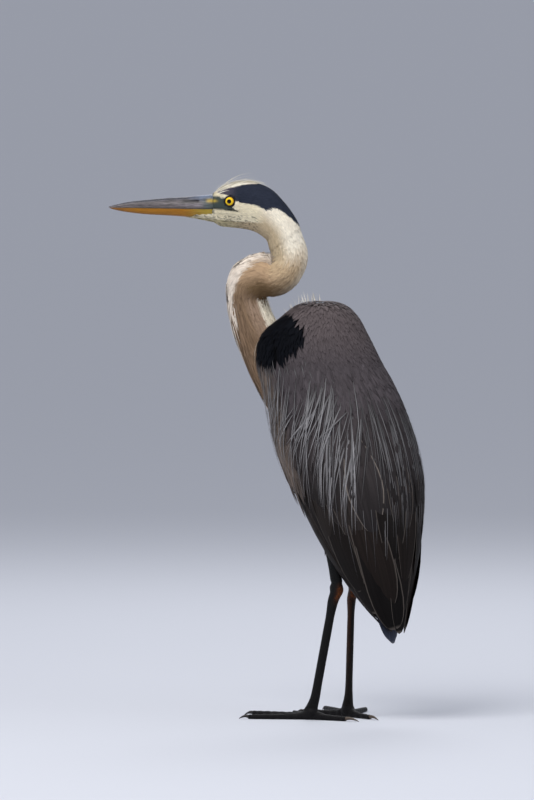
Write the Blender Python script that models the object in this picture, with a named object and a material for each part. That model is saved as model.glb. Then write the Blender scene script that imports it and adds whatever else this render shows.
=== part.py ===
# Great blue heron, life size: a still model standing upright with its head turned to its left.
# The trunk faces -Y, the bird's left is +X and the feet stand on z = 0. Sizes are in millimetres
# in the tables and functions, and become metres when a mesh is made.
import math

import bmesh
import bpy
import numpy as np

MM = 0.001
GAP = 0.3  # clearance between neighbouring solids
HEAD_TURN = math.radians(35)  # how far the head looks to the bird's left of the trunk
BODY_TOP = 586  # height of the top of the mantle
VENT_HEIGHT = 236  # where the trunk ends below
TAIL_TIP = 108  # height of the tail's tip
WING_TIP = 124  # height of the wings' tips

EYE_RADIUS = 8.4
EYE_FORWARD = 161  # along the head's own direction, from the stand point
EYE_HEIGHT = 726
EYE_SIDE = 10.6  # from the head's middle plane to an eyeball's centre
HEAD_DEPTH = -61  # how far the head's middle plane lies from the stand point, towards its left side

BILL_BASE = 187.5  # along the head's direction
BILL_TIP = 331
GAPE_HEIGHT = 714.8

HOCK_HEIGHT = 184
SOLE_HEIGHT = 9  # centre of the foot's hub
HUB_SIZE = (9.4, 9.8, 10.4)  # half sizes of the hub before its top and its sole are cut flat
HUB_TOP = 8.2
HUB_REACH = 17.5  # how far the stubs of the toes belong to the hub
TARSUS_SIZE = (4.6, 6.8)  # half sizes across and fore-and-aft

NECK_SETTLE = 2.5  # lowers head and neck together, below the heights in their tables
NECK_SIDES = 18
BODY_SIDES = 24

SLATE = (0.115, 0.105, 0.108)
BLUE_GREY = (0.16, 0.17, 0.19)
BELLY_GREY = (0.22, 0.2, 0.19)
CREAM = (0.62, 0.54, 0.44)
BUFF = (0.42, 0.31, 0.22)
CHESTNUT = (0.26, 0.11, 0.05)
LEG_DARK = (0.03, 0.026, 0.02)
CLAW_HORN = (0.11, 0.09, 0.075)
HORN_GREY = (0.14, 0.13, 0.14)
HORN_YELLOW = (0.55, 0.31, 0.04)
IRIS_YELLOW = (0.9, 0.66, 0.02)

# Envelope of trunk and folded wings, by height: height, middle fore-and-aft (back is +),
# half width, half depth.
BODY_ROWS = (
    (580, -41, 36, 32),
    (564, -43, 55, 52),
    (540, -51, 69, 75),
    (505, -46, 77, 91),
    (447, -19, 83, 99),
    (377, 3, 85, 103),
    (307, 26, 74, 90),
    (237, 43, 55, 66),
    (167, 67, 30, 36),
    (124, 87, 12, 9),
)

# Head: throat point (forward, height), crown point (forward, height), half width.
HEAD_ROWS = (
    (187, 698, 186.5, 734.5, 12.2),
    (176, 691.5, 177, 742.5, 15),
    (162, 689.5, 162, 748.5, 18),
    (147, 688, 143, 752.5, 20.5),
    (134, 686, 123, 750.5, 22),
    (124, 682.5, 103.5, 742, 23),
    (116, 677.5, 85.5, 724, 23.5),
    (109.5, 672, 72, 706, 24),
)
# The neck turns twice, each time about a pivot (forward, height) close to its inner side.
THROAT_PIVOT = (104.5, 645)
THROAT_REACH = (54.5, 51, 54)  # thickness from the pivot: start, middle, end of the turn
THROAT_TURN = (-32, 82)  # degrees, from straight back round to straight down
CHEST_PIVOT = (108.5, 589)
CHEST_REACH = (62, 66, 57.5)
CHEST_TURN = (0, 88)  # degrees, from straight up round to straight forward
PIVOT_RADIUS = 2.5
# Lower neck and its hanging plumes: front point, back point, half width.
LOWER_NECK_ROWS = (
    (164.5, 577, 104, 571, 28),
    (160, 551, 95, 556, 29),
    (151, 523, 84, 538, 30),
    (138.5, 494, 73, 518, 31),
    (126.5, 466, 63, 496, 29),
    (115, 443, 58, 470, 21),
    (109, 431, 66, 447, 11),
)

# Shape of an upper and a lower half of the bill: share of the length, height above and below
# the gape, half width.
BILL_ROWS = (
    (0.0, 20.0, 17.0, 11.6),
    (0.12, 18.2, 13.6, 10.6),
    (0.22, 16.6, 11.8, 9.6),
    (0.45, 14.0, 9.8, 7.5),
    (0.63, 11.2, 8.8, 5.9),
    (0.8, 8.2, 6.6, 4.3),
    (0.9, 4.9, 4.5, 3.0),
    (0.97, 2.3, 2.3, 1.7),
    (1.0, 0.9, 0.9, 0.8),
)

# Per leg: knee, hock and foot as (across, fore-and-aft), the heading of the toes from straight
# ahead (positive to the bird's left), and the heading of the hind toe.
LEGS = {
    "left": {"knee": (26, -20), "hock": (24, 4), "foot": (34, -33), "ahead": -4, "hind": 184},
    "right": {"knee": (-26, -24), "hock": (-22, -2), "foot": (-34, -18), "ahead": -38, "hind": 158},
}
THIGH_ROWS = ((0.0, 18, 22), (0.25, 15.5, 19), (0.48, 10.0, 13.2), (0.6, 7.6, 10.8))
SHANK_ROWS = ((0.6, 7.2, 10.4), (0.8, 6.2, 9.2), (0.92, 6.2, 9.4))
KNEE_HEIGHT = 318
# Toes: heading from the foot's own, length without the claw, claw length, radius at the root.
TOES = {
    "middle": (0, 88, 16, 4.8),
    "inner": (34, 64, 13, 4.4),
    "outer": (-33, 72, 13, 4.4),
    "hind": (None, 38, 21, 4.4),
}


def principled(name, colour, roughness):
    material = bpy.data.materials.new(name)
    material.use_nodes = True
    shader = material.node_tree.nodes["Principled BSDF"]
    shader.inputs["Base Color"].default_value = (*colour, 1)
    shader.inputs["Roughness"].default_value = roughness
    shader.inputs["Metallic"].default_value = 0
    return material


def spline(rows, at):
    """The table's columns, smoothly interpolated where its first column is `at`."""
    table = np.array(rows, float)
    if table[0, 0] > table[-1, 0]:
        table = table[::-1]
    x, y = table[:, 0], table[:, 1:]
    slope = np.gradient(y, x, axis=0)
    at = np.clip(np.atleast_1d(at), x[0], x[-1])
    i = np.clip(np.searchsorted(x, at) - 1, 0, len(x) - 2)
    h = (x[i + 1] - x[i])[:, None]
    t = (at - x[i])[:, None] / h
    return (
        (2 * t**3 - 3 * t**2 + 1) * y[i]
        + (t**3 - 2 * t**2 + t) * h * slope[i]
        + (3 * t**2 - 2 * t**3) * y[i + 1]
        + (t**3 - t**2) * h * slope[i + 1]
    )


def oval(centre, across, along, half_across, half_along, sides):
    """Points of an ellipse round `centre`, in the plane of the two directions."""
    turn = np.arange(sides) * 2 * math.pi / sides
    ring = np.outer(np.cos(turn) * half_across, across) + np.outer(np.sin(turn) * half_along, along)
    return ring + centre


def add_node(name, mesh, colour, roughness=0.7, parts=None):
    mesh.materials.append(principled(name, colour, roughness))
    node = bpy.data.objects.new(name, mesh)
    (parts or heron).objects.link(node)
    node.parent = stand_point
    return node


def loft(name, rings, colour, roughness=0.7, parts=None):
    """A closed solid through rings of equally many points, with a flat cap at each end."""
    shape = bmesh.new()
    loops = [[shape.verts.new(point * MM) for point in ring] for ring in rings]
    sides = len(loops[0])
    for lower, upper in zip(loops, loops[1:]):
        for i in range(sides):
            j = (i + 1) % sides
            shape.faces.new((lower[i], lower[j], upper[j], upper[i]))
    shape.faces.new(loops[0][::-1])
    shape.faces.new(loops[-1])
    bmesh.ops.recalc_face_normals(shape, faces=shape.faces)
    mesh = bpy.data.meshes.new(name)
    shape.to_mesh(mesh)
    shape.free()
    mesh.shade_smooth()
    return add_node(name, mesh, colour, roughness, parts)


def cut(node, cutter, operation="DIFFERENCE"):
    change = node.modifiers.new(f"{operation.lower()} {cutter.name}", "BOOLEAN")
    change.operation = operation
    change.object = cutter


def swollen(node):
    """A hidden copy of a node, larger by the clearance, to cut its neighbours with."""
    copy = bpy.data.objects.new(node.name + "_clearance", node.data)
    cutters.objects.link(copy)
    copy.parent = stand_point
    swell = copy.modifiers.new("clearance", "DISPLACE")
    swell.mid_level = 0
    swell.strength = GAP * MM
    hide(copy)
    return copy


def hide(helper):
    helper.hide_render = True
    helper.display_type = "WIRE"


# --- trunk, wings and tail -------------------------------------------------------------------


def body_at(height):
    """Middle, half width and half depth of the envelope at a height."""
    return spline(BODY_ROWS, height)[0]


def wing_depth(height):
    """Thickness of a folded wing at its middle."""
    return np.interp(height, (WING_TIP, 240, 330, 420, 520, 575), (2, 3, 5, 8, 9, 7))


def make_trunk():
    """Horizontal sections: the envelope less the wings, closed in a dome above and at the vent below."""
    rings = []
    for turn in np.linspace(0.04, 0.96, 21):
        height = VENT_HEIGHT + (BODY_TOP - VENT_HEIGHT) * (1 - math.cos(turn * math.pi)) / 2
        middle, width, depth = body_at(min(height, 572))
        top = math.sqrt(max(0.03, 1 - max(0, (height - 556) / (BODY_TOP - 556)) ** 2))
        vent = math.sqrt(max(0.02, 1 - max(0, (330 - height) / (330 - VENT_HEIGHT)) ** 2.4))
        under_wing = wing_depth(height) + 2.5
        width = (width - under_wing) * top * vent
        back = (depth - under_wing * np.interp(height, (400, 470), (1, 0.2))) * top * (0.3 + 0.7 * vent)
        front = depth * top * vent - np.interp(height, (VENT_HEIGHT, 340), (4, 0))
        ring = oval((0, middle, height), (1, 0, 0), (0, 1, 0), width, 1, BODY_SIDES)
        offset = ring[:, 1] - middle
        ring[:, 1] = middle + np.where(offset > 0, offset * back, offset * max(front, 3))
        rings.append(ring)
    return loft("trunk", rings, BELLY_GREY, 0.9)


def wing_edges(height):
    """Directions of the wing's lower and upper edges, in degrees from straight out to the side."""
    lower = np.interp(
        height, (WING_TIP, 255, 320, 400, 500, 540, 556, 566), (-45, -45, -58, -64, -66, -60, -44, -22)
    )
    upper = np.interp(height, (WING_TIP, 300, 360, 440, 520, 548, 566), (88, 88, 86, 68, 48, 34, 12))
    return lower, upper


def make_wing(side, name):
    """A folded wing: a closed shell from its lower edge on the flank to its upper edge on the back."""
    sections = []
    for height in np.concatenate([np.linspace(WING_TIP, 500, 15), np.linspace(518, 566, 5)]):
        middle, width, depth = body_at(height)
        lower, upper = np.radians(wing_edges(height))
        turn = np.linspace(lower, upper, 9)
        edge = np.sin(np.linspace(0, math.pi, 9))
        thickness = 1.4 + (wing_depth(height) - 1.4) * edge**0.6
        outward = np.stack([np.cos(turn) / width, np.sin(turn) / depth], 1)
        outward /= np.linalg.norm(outward, axis=1)[:, None]
        outer = np.stack([width * np.cos(turn), middle + depth * np.sin(turn)], 1)
        inner = outer - outward * thickness[:, None]
        outline = np.concatenate([outer, inner[::-1]])
        outline[:, 0] = np.maximum(outline[:, 0], 1.0)
        ring = np.column_stack([outline[:, 0] * side, outline[:, 1], np.full(len(outline), height)])
        sections.append(ring)
    return loft(name, sections, SLATE, 0.8)


def make_tail(trunk):
    """Folded tail feathers: a thin plate from the vent to the rounded tip."""
    rows = (
        (268, 50, 16, 9),
        (240, 54, 20, 8),
        (200, 60, 20, 4.5),
        (160, 63, 15.5, 2.4),
        (132, 68, 10, 1.6),
        (118, 78.5, 9.5, 1.4),
        (TAIL_TIP, 84.5, 6, 1.1),
    )
    back = np.array((0, 0.94, 0.34))
    rings = []
    for height in (268, 250, 225, 200, 175, 150, 132, 118, 112, TAIL_TIP):
        middle, width, thick = spline(rows, height)[0]
        rings.append(oval((0, middle, height), (1, 0, 0), back, width, thick, 12))
    tail = loft("tail", rings, BLUE_GREY, 0.8)
    cut(tail, swollen(trunk))


# --- head, neck and bill ---------------------------------------------------------------------

SIDEWAYS = np.array((math.cos(HEAD_TURN), math.sin(HEAD_TURN), 0))
AHEAD = np.array((math.sin(HEAD_TURN), -math.cos(HEAD_TURN), 0))


def place(forward, height, depth):
    """A point given by how far it is ahead in the head's direction, how high, and to its left."""
    return AHEAD * forward + SIDEWAYS * depth + np.array((0, 0, height - NECK_SETTLE))


def neck_depth(forward, share):
    """Keeps the lower neck over the trunk's middle plane, and the head beside it (share 0 to 1)."""
    on_trunk = -forward * math.tan(HEAD_TURN)
    return HEAD_DEPTH + (on_trunk - HEAD_DEPTH) * share


def section(front, back, half_width, share, sides=NECK_SIDES):
    """A cross-section between a front and a back point; it turns to the trunk as share grows."""
    turn = HEAD_TURN * (1 - share)
    ahead = np.array((math.sin(turn), -math.cos(turn), 0))
    left = np.array((math.cos(turn), math.sin(turn), 0))
    forward, height = (front[0] + back[0]) / 2, (front[1] + back[1]) / 2
    half = np.array((front[0] - back[0], front[1] - back[1])) / 2
    along = ahead * half[0] + np.array((0, 0, half[1]))
    centre = place(forward, height, neck_depth(forward, share))
    return oval(centre, left, along, half_width, 1, sides)


def turned_sections(pivot, reach, turn, direction, widths, shares, count):
    """Sections that fan round a pivot at the inner side of a bend."""
    rings = []
    for share in np.linspace(0, 1, count):
        angle = math.radians(turn[0] + (turn[1] - turn[0]) * share)
        way = direction(angle)
        thickness = np.interp(share, (0, 0.5, 1), reach)
        inner = (pivot[0] + way[0] * PIVOT_RADIUS, pivot[1] + way[1] * PIVOT_RADIUS)
        outer = (pivot[0] + way[0] * thickness, pivot[1] + way[1] * thickness)
        rings.append((inner, outer, np.interp(share, (0, 1), widths), np.interp(share, (0, 1), shares)))
    return rings


def neck_sections():
    def backwards(angle):
        return -math.cos(angle), -math.sin(angle)

    def upwards(angle):
        return math.sin(angle), math.cos(angle)

    throat = turned_sections(
        THROAT_PIVOT, THROAT_REACH, THROAT_TURN, backwards, (24.5, 25), (0, 0.4), 7
    )
    chest = turned_sections(CHEST_PIVOT, CHEST_REACH, CHEST_TURN, upwards, (25.5, 28), (0.45, 0.8), 7)
    bends = [section(i, o, w, s) for i, o, w, s in throat] + [section(o, i, w, s) for i, o, w, s in chest]
    lower = [
        section((row[0], row[1]), (row[2], row[3]), row[4], share)
        for row, share in zip(LOWER_NECK_ROWS, (0.85, 0.9, 0.95, 1, 1, 1, 1))
    ]
    return bends, lower


def shifted(ring, neighbour, amount):
    """The ring moved towards a neighbouring ring by a small amount."""
    way = neighbour.mean(0) - ring.mean(0)
    return ring + way / np.linalg.norm(way) * amount


def lengths_of(rings, names, ends):
    """Consecutive lengths of one long loft, with half the clearance taken off at each cut."""
    for name, first, last in zip(names, ends, ends[1:]):
        piece = list(rings[first : last + 1])
        if first > 0:
            piece[0] = shifted(piece[0], piece[1], GAP / 2)
        if last < len(rings) - 1:
            piece[-1] = shifted(piece[-1], piece[-2], GAP / 2)
        yield name, piece


def make_head_and_neck(trunk, wings):
    head = [section((r[0], r[1]), (r[2], r[3]), r[4], 0) for r in HEAD_ROWS]
    bends, lower = neck_sections()
    rings = head + bends + lower
    at_head = len(head)
    cuts = (0, at_head, at_head + 4, at_head + 9, at_head + 13, len(rings) - 1)
    names = ("head", "neck_upper", "neck_bend", "neck_chest", "neck_base")
    colours = (CREAM, CREAM, BUFF, BUFF, BUFF)
    made = {}
    for (name, piece), colour in zip(lengths_of(rings, names, cuts), colours):
        made[name] = loft(name, piece, colour, 0.9)
    cut(made["neck_base"], swollen(trunk))
    for wing in wings:
        cut(made["neck_base"], swollen(wing))
    return made


def make_eyes(head):
    for side, name in ((1, "eye_left"), (-1, "eye_right")):
        centre = place(EYE_FORWARD, EYE_HEIGHT, HEAD_DEPTH + side * EYE_SIDE)
        for radius, title in ((EYE_RADIUS, name), (EYE_RADIUS + GAP, name + "_socket")):
            ball = bmesh.new()
            bmesh.ops.create_uvsphere(ball, u_segments=14, v_segments=9, radius=radius * MM)
            bmesh.ops.translate(ball, verts=ball.verts, vec=centre * MM)
            mesh = bpy.data.meshes.new(title)
            ball.to_mesh(mesh)
            ball.free()
            mesh.shade_smooth()
            if title == name:
                add_node(name, mesh, IRIS_YELLOW, 0.05)
            else:
                socket = add_node(title, mesh, IRIS_YELLOW, 0.05, cutters)
                hide(socket)
                cut(head, socket)


def make_bill():
    """Upper and lower halves that meet at the gape, each rounded outward and flat where they meet."""
    for name, way, column, colour in (("bill_upper", 1, 0, HORN_GREY), ("bill_lower", -1, 1, HORN_YELLOW)):
        rings = []
        for share in (0, 0.06, 0.12, 0.2, 0.3, 0.42, 0.55, 0.68, 0.8, 0.9, 0.96, 1.0):
            row = spline(BILL_ROWS, share)[0]
            height, width = row[column], row[2]
            reach = 0 if way > 0 else 1.5
            forward = BILL_BASE + GAP + (BILL_TIP - reach - BILL_BASE) * share
            droop = 2.2 * share
            turn = np.linspace(0, math.pi, 9)
            across = np.cos(turn) * width
            rise = np.sin(turn) ** 0.8 * height * way
            flat = GAP / 2 * way
            ring = [
                place(forward, GAPE_HEIGHT + droop + flat + r, HEAD_DEPTH + a) for a, r in zip(across, rise)
            ]
            rings.append(np.array(ring))
        loft(name, rings, colour, 0.35)


# --- legs ------------------------------------------------------------------------------------


def along_leg(knee, hock, rows, shares, sides=12):
    """Oval sections down a line from the knee to the hock."""
    rings = []
    for share in shares:
        half_x, half_y = spline(rows, share)[0]
        rings.append(oval(knee + (hock - knee) * share, (1, 0, 0), (0, 1, 0), half_x, half_y, sides))
    return rings


def make_leg(side, place_of, trunk, wings):
    knee = np.array((*place_of["knee"], KNEE_HEIGHT))
    hock = np.array((*place_of["hock"], HOCK_HEIGHT))
    foot = np.array((*place_of["foot"], SOLE_HEIGHT))
    thigh_rings = along_leg(knee, hock, THIGH_ROWS, (0, 0.15, 0.3, 0.4, 0.48, 0.54, 0.597))
    thigh = loft(f"thigh_{side}", thigh_rings, CHESTNUT, 0.9)
    cut(thigh, swollen(trunk))
    for wing in wings:
        cut(thigh, swollen(wing))
    loft(f"shank_{side}", along_leg(knee, hock, SHANK_ROWS, (0.6, 0.7, 0.8, 0.87, 0.92)), LEG_DARK, 0.5)
    turn = math.radians(place_of["ahead"])
    left = np.array((math.cos(turn), math.sin(turn), 0))
    ahead = np.array((math.sin(turn), -math.cos(turn), 0))
    rows = (
        (0.0, 5.6, 8.2),
        (0.06, 6.8, 10.2),
        (0.14, 6.2, 8.6),
        (0.24, *TARSUS_SIZE),
        (0.8, *TARSUS_SIZE),
        (0.93, 6.6, 7.8),
        (1.0, 8.4, 8.8),
    )
    top = hock + (knee - hock) * 0.078
    ankle = foot + np.array((0, 0, 8.6))
    rings = []
    for share in (0, 0.04, 0.08, 0.14, 0.22, 0.4, 0.6, 0.8, 0.9, 0.96, 1.0):
        half_x, half_y = spline(rows, share)[0]
        centre = top + (ankle - top) * share
        centre[1] += 3.5 * math.exp(-(((share - 0.07) / 0.05) ** 2))
        rings.append(oval(centre, left, ahead, half_x, half_y, 12))
    loft(f"tarsus_{side}", rings, LEG_DARK, 0.5)
    make_foot(side, place_of, foot)


def toe_path(foot, heading, distance, radius):
    """Centre of a toe at a distance from the hub; it lies flat on its own radius."""
    turn = math.radians(heading)
    way = np.array((math.sin(turn), -math.cos(turn), 0))
    return np.array((foot[0], foot[1], radius * 0.82)) + way * distance, way


def toe_rings(foot, heading, reaches, radius_at):
    rings = []
    for distance in reaches:
        radius = radius_at(distance)
        centre, way = toe_path(foot, heading, distance, radius)
        across = np.array((way[1], -way[0], 0))
        ring = oval(centre, across, (0, 0, 1), radius, radius, 10)
        ring[:, 2] = np.maximum(ring[:, 2], 0)
        rings.append(ring)
    return rings


def make_foot(side, place_of, foot):
    ball = bmesh.new()
    bmesh.ops.create_uvsphere(ball, u_segments=14, v_segments=8, radius=1)
    for vert in ball.verts:
        vert.co.x *= HUB_SIZE[0] * MM
        vert.co.y *= HUB_SIZE[1] * MM
        vert.co.z = min(max(vert.co.z * HUB_SIZE[2] * MM, -SOLE_HEIGHT * MM), HUB_TOP * MM)
    bmesh.ops.translate(ball, verts=ball.verts, vec=foot * MM)
    mesh = bpy.data.meshes.new(f"foot_{side}")
    ball.to_mesh(mesh)
    ball.free()
    hub = add_node(f"foot_{side}", mesh, LEG_DARK, 0.5)
    for toe, (heading, length, claw, root) in TOES.items():
        outward = 1 if side == "left" else -1
        if heading is None:
            heading = place_of["hind"]
        else:
            heading = place_of["ahead"] - heading * outward
        end = HUB_REACH + length

        def radius_at(distance, root=root, end=end):
            share = distance / end
            knuckle = 0.35 * math.cos(share * 6 * math.pi)
            return root * (1 - 0.32 * share) + knuckle

        stub = toe_rings(foot, heading, (4, 10, HUB_REACH - GAP), radius_at)
        stub = loft(f"stub_{toe}_{side}", stub, LEG_DARK, 0.5, cutters)
        hide(stub)
        cut(hub, stub, "UNION")
        steps = max(5, round(length / 10))
        loft(
            f"toe_{toe}_{side}",
            toe_rings(foot, heading, np.linspace(HUB_REACH, end, steps), radius_at),
            LEG_DARK,
            0.5,
        )
        make_claw(f"claw_{toe}_{side}", foot, heading, end + GAP, claw, radius_at(end) * 0.8)


def make_claw(name, foot, heading, start, length, radius):
    """A tapering claw that arches up a little and comes down to its tip."""
    rings = []
    for share in (0, 0.25, 0.5, 0.75, 0.93, 1.0):
        size = radius * (1 - share) ** 0.7 + 0.35
        centre, way = toe_path(foot, heading, start + length * share, size)
        arch = 2.2 * math.sin(share * math.pi) * (1 - share * 0.5)
        centre[2] = size + 0.2 + arch + radius * 0.25 * (1 - share)
        across = np.array((way[1], -way[0], 0))
        rings.append(oval(centre, across, (0, 0, 1), size * 0.8, size, 8))
    loft(name, rings, CLAW_HORN, 0.4)


# --- assembly --------------------------------------------------------------------------------


def centre_on_stand_point():
    """Moves everything so that the origin is under the middle of the whole bird."""
    bpy.context.view_layer.update()
    graph = bpy.context.evaluated_depsgraph_get()
    corners = []
    for node in heron.objects:
        if node.type == "MESH":
            shape = node.evaluated_get(graph)
            corners += [shape.matrix_world @ vert.co for vert in shape.data.vertices]
    points = np.array([tuple(corner) for corner in corners])
    middle = (points.min(0) + points.max(0)) / 2
    stand_point.location = (-middle[0], -middle[1], -points.min(0)[2])


for old in list(bpy.data.objects):
    bpy.data.objects.remove(old, do_unlink=True)
heron = bpy.data.collections.new("great blue heron")
cutters = bpy.data.collections.new("cutters")
bpy.context.scene.collection.children.link(heron)
bpy.context.scene.collection.children.link(cutters)
stand_point = bpy.data.objects.new("stand_point", None)
heron.objects.link(stand_point)

trunk = make_trunk()
wings = [make_wing(1, "wing_left"), make_wing(-1, "wing_right")]
for wing in wings:
    cut(trunk, swollen(wing))
make_tail(trunk)
head_and_neck = make_head_and_neck(trunk, wings)
make_eyes(head_and_neck["head"])
make_bill()
for side, place_of in LEGS.items():
    make_leg(side, place_of, trunk, wings)
centre_on_stand_point()
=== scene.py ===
import math

import bmesh
import bpy
import numpy as np
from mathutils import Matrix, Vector
from mathutils.kdtree import KDTree


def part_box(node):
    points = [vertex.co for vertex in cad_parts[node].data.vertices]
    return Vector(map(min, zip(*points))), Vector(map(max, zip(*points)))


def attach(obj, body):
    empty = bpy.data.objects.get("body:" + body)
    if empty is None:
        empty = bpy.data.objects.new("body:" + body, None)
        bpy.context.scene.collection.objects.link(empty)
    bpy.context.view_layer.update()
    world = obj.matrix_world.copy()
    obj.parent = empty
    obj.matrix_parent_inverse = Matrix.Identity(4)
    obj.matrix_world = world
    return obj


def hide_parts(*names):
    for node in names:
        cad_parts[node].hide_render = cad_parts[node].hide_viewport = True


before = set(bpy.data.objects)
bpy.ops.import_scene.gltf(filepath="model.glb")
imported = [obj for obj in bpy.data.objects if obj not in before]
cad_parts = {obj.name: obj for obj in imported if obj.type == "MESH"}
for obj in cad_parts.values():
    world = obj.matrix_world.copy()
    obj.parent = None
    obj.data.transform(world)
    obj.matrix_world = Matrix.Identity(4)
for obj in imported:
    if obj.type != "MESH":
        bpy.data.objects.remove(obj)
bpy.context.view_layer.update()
mm = 0.001
random = np.random.default_rng(7)  # every random draw comes from this one seed

# The bird's outline, in millimetres from the stand point. Forward and height lie in the head's middle plane.
headTurn = math.radians(35)  # the head looks this far to the bird's left
headDepth = -61  # the head's middle plane, towards its own left
neckSettle = 2.5
sideNames = {1: "Left", -1: "Right"}
eyePlace = {"forward": 161, "height": 726, "side": 10.6}
billSize = {"base": 187.5, "tip": 331, "gape": 714.8, "gapeRise": 2.2}

# along the back from the top: height, middle fore-and-aft, half width, half depth
bodyRows = (
    (0, 586, -41, 0, 0), (11, 584.5, -41, 19, 17), (22, 580, -41, 36, 32), (42, 564, -43, 55, 52),
    (66, 540, -51, 69, 75), (101, 505, -46, 77, 91), (159, 447, -19, 83, 99), (229, 377, 3, 85, 103),
    (299, 307, 26, 74, 90), (369, 237, 43, 55, 66), (439, 167, 67, 30, 36), (482, 124, 87, 12, 9),
)  # fmt: skip
# throat point, crown point (forward, height), half width
headRows = (
    (187, 698, 186.5, 734.5, 12.2), (176, 691.5, 177, 742.5, 15), (162, 689.5, 162, 748.5, 18),
    (147, 688, 143, 752.5, 20.5), (134, 686, 123, 750.5, 22), (124, 682.5, 103.5, 742, 23),
    (116, 677.5, 85.5, 724, 23.5), (109.5, 672, 72, 706, 24),
)  # fmt: skip
# share of the bill's length: height above the gape, depth below it, half width
billRows = (
    (0.0, 20.0, 17.0, 11.6), (0.12, 18.2, 13.6, 10.6), (0.22, 16.6, 11.8, 9.6), (0.45, 14.0, 9.8, 7.5),
    (0.63, 11.2, 8.8, 5.9), (0.8, 8.2, 6.6, 4.3), (0.9, 4.9, 4.5, 3.0), (0.97, 2.3, 2.3, 1.7),
    (1.0, 0.9, 0.9, 0.8),
)  # fmt: skip
# the two bends of the neck: each fans out from a pivot (forward, height)
throatBend = {
    "pivot": (104.5, 645), "inner": 2.5, "reach": (54.5, 51, 54), "turn": (-32, 82), "width": (24.5, 25),
    "share": (0, 0.4), "sections": 7, "outerInFront": False,
}  # fmt: skip
chestBend = {
    "pivot": (108.5, 589), "inner": 2.5, "reach": (62, 66, 57.5), "turn": (0, 88), "width": (25.5, 28),
    "share": (0.45, 0.8), "sections": 7, "outerInFront": True,
}  # fmt: skip
# front point, back point, half width, share of the way from the head's plane to the trunk's
lowerNeckRows = (
    (164.5, 577, 104, 571, 28, 0.85), (160, 551, 95, 556, 29, 0.9), (151, 523, 84, 538, 30, 0.95),
    (138.5, 494, 73, 518, 31, 1), (126.5, 466, 63, 496, 29, 1), (115, 443, 58, 470, 21, 1),
    (109, 431, 66, 447, 11, 1),
)  # fmt: skip
ahead = np.array((math.sin(headTurn), -math.cos(headTurn), 0))
sideways = np.array((math.cos(headTurn), math.sin(headTurn), 0))


def place(forward, height, depth):
    return ahead * forward + sideways * depth + np.array((0, 0, height - neckSettle))


def eyeCentre(side, depth):
    return place(eyePlace["forward"], eyePlace["height"], headDepth + side * depth)


eyeLow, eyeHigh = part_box("eye_left")
eyeHere = (np.array(eyeLow) + np.array(eyeHigh)) / 2
standPoint = eyeHere - eyeCentre(1, eyePlace["side"]) * mm  # all lengths above count from here


# smooth columns of a table at given values of its first column
def spline(rows, at):
    table = np.array(rows, float)
    x, y = table[:, 0], table[:, 1:]
    slope = np.gradient(y, x, axis=0)
    at = np.clip(np.atleast_1d(at).astype(float), x[0], x[-1])
    i = np.clip(np.searchsorted(x, at) - 1, 0, len(x) - 2)
    h = (x[i + 1] - x[i])[:, None]
    t = (at - x[i])[:, None] / h
    return (
        (2 * t**3 - 3 * t**2 + 1) * y[i]
        + (t**3 - 2 * t**2 + t) * h * slope[i]
        + (3 * t**2 - 2 * t**3) * y[i + 1]
        + (t**3 - t**2) * h * slope[i + 1]
    )


def ramp(value, points):
    return np.interp(value, [p[0] for p in points], [p[1] for p in points])


def smoothStep(low, high, value):
    t = np.clip((np.asarray(value, float) - low) / (high - low), 0, 1)
    return t * t * (3 - 2 * t)


def hump(value, middle, reach):  # a bell curve: 1 at the middle
    return np.exp(-(((value - middle) / reach) ** 2))


def unit(vectors):
    return vectors / (np.linalg.norm(vectors, axis=1)[:, None] + 1e-9)


# Surfaces: each gives points in millimetres for two arrays of coordinates, and can grow outwards.


def heightOf(along):
    return ramp(along, [(row[0], row[1]) for row in bodyRows])


def alongOf(height):
    return ramp(-np.asarray(height, float), [(-row[1], row[0]) for row in bodyRows])


# along: from the top of the back downwards; angle: 0 left side, 90 back, -90 breast, in degrees
def bodySurface(along, angle, grow=0):
    row = spline(bodyRows, along)
    turn = np.radians(angle)
    across, deep = np.cos(turn), np.sin(turn)
    width, depth = row[:, 2], row[:, 3]
    normal = np.stack([across * (depth + 1), deep * (width + 1)], 1)
    normal /= np.linalg.norm(normal, axis=1)[:, None]
    x = width * across + normal[:, 0] * grow
    y = row[:, 1] + depth * deep + normal[:, 1] * grow
    return np.stack([x, y, row[:, 0] + smoothStep(30, 0, along) * grow], 1)


def bendSections(bend, way):
    rows = []
    for share in np.linspace(0, 1, bend["sections"]):
        direction = way(math.radians(np.interp(share, (0, 1), bend["turn"])))
        reach = np.interp(share, (0, 0.5, 1), bend["reach"])
        inner, outer = ([bend["pivot"][i] + direction[i] * at for i in (0, 1)] for at in (bend["inner"], reach))
        front, back = (outer, inner) if bend["outerInFront"] else (inner, outer)
        width, onTrunk = (np.interp(share, (0, 1), bend[key]) for key in ("width", "share"))
        rows.append((*front, *back, width, onTrunk))
    return rows


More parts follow.
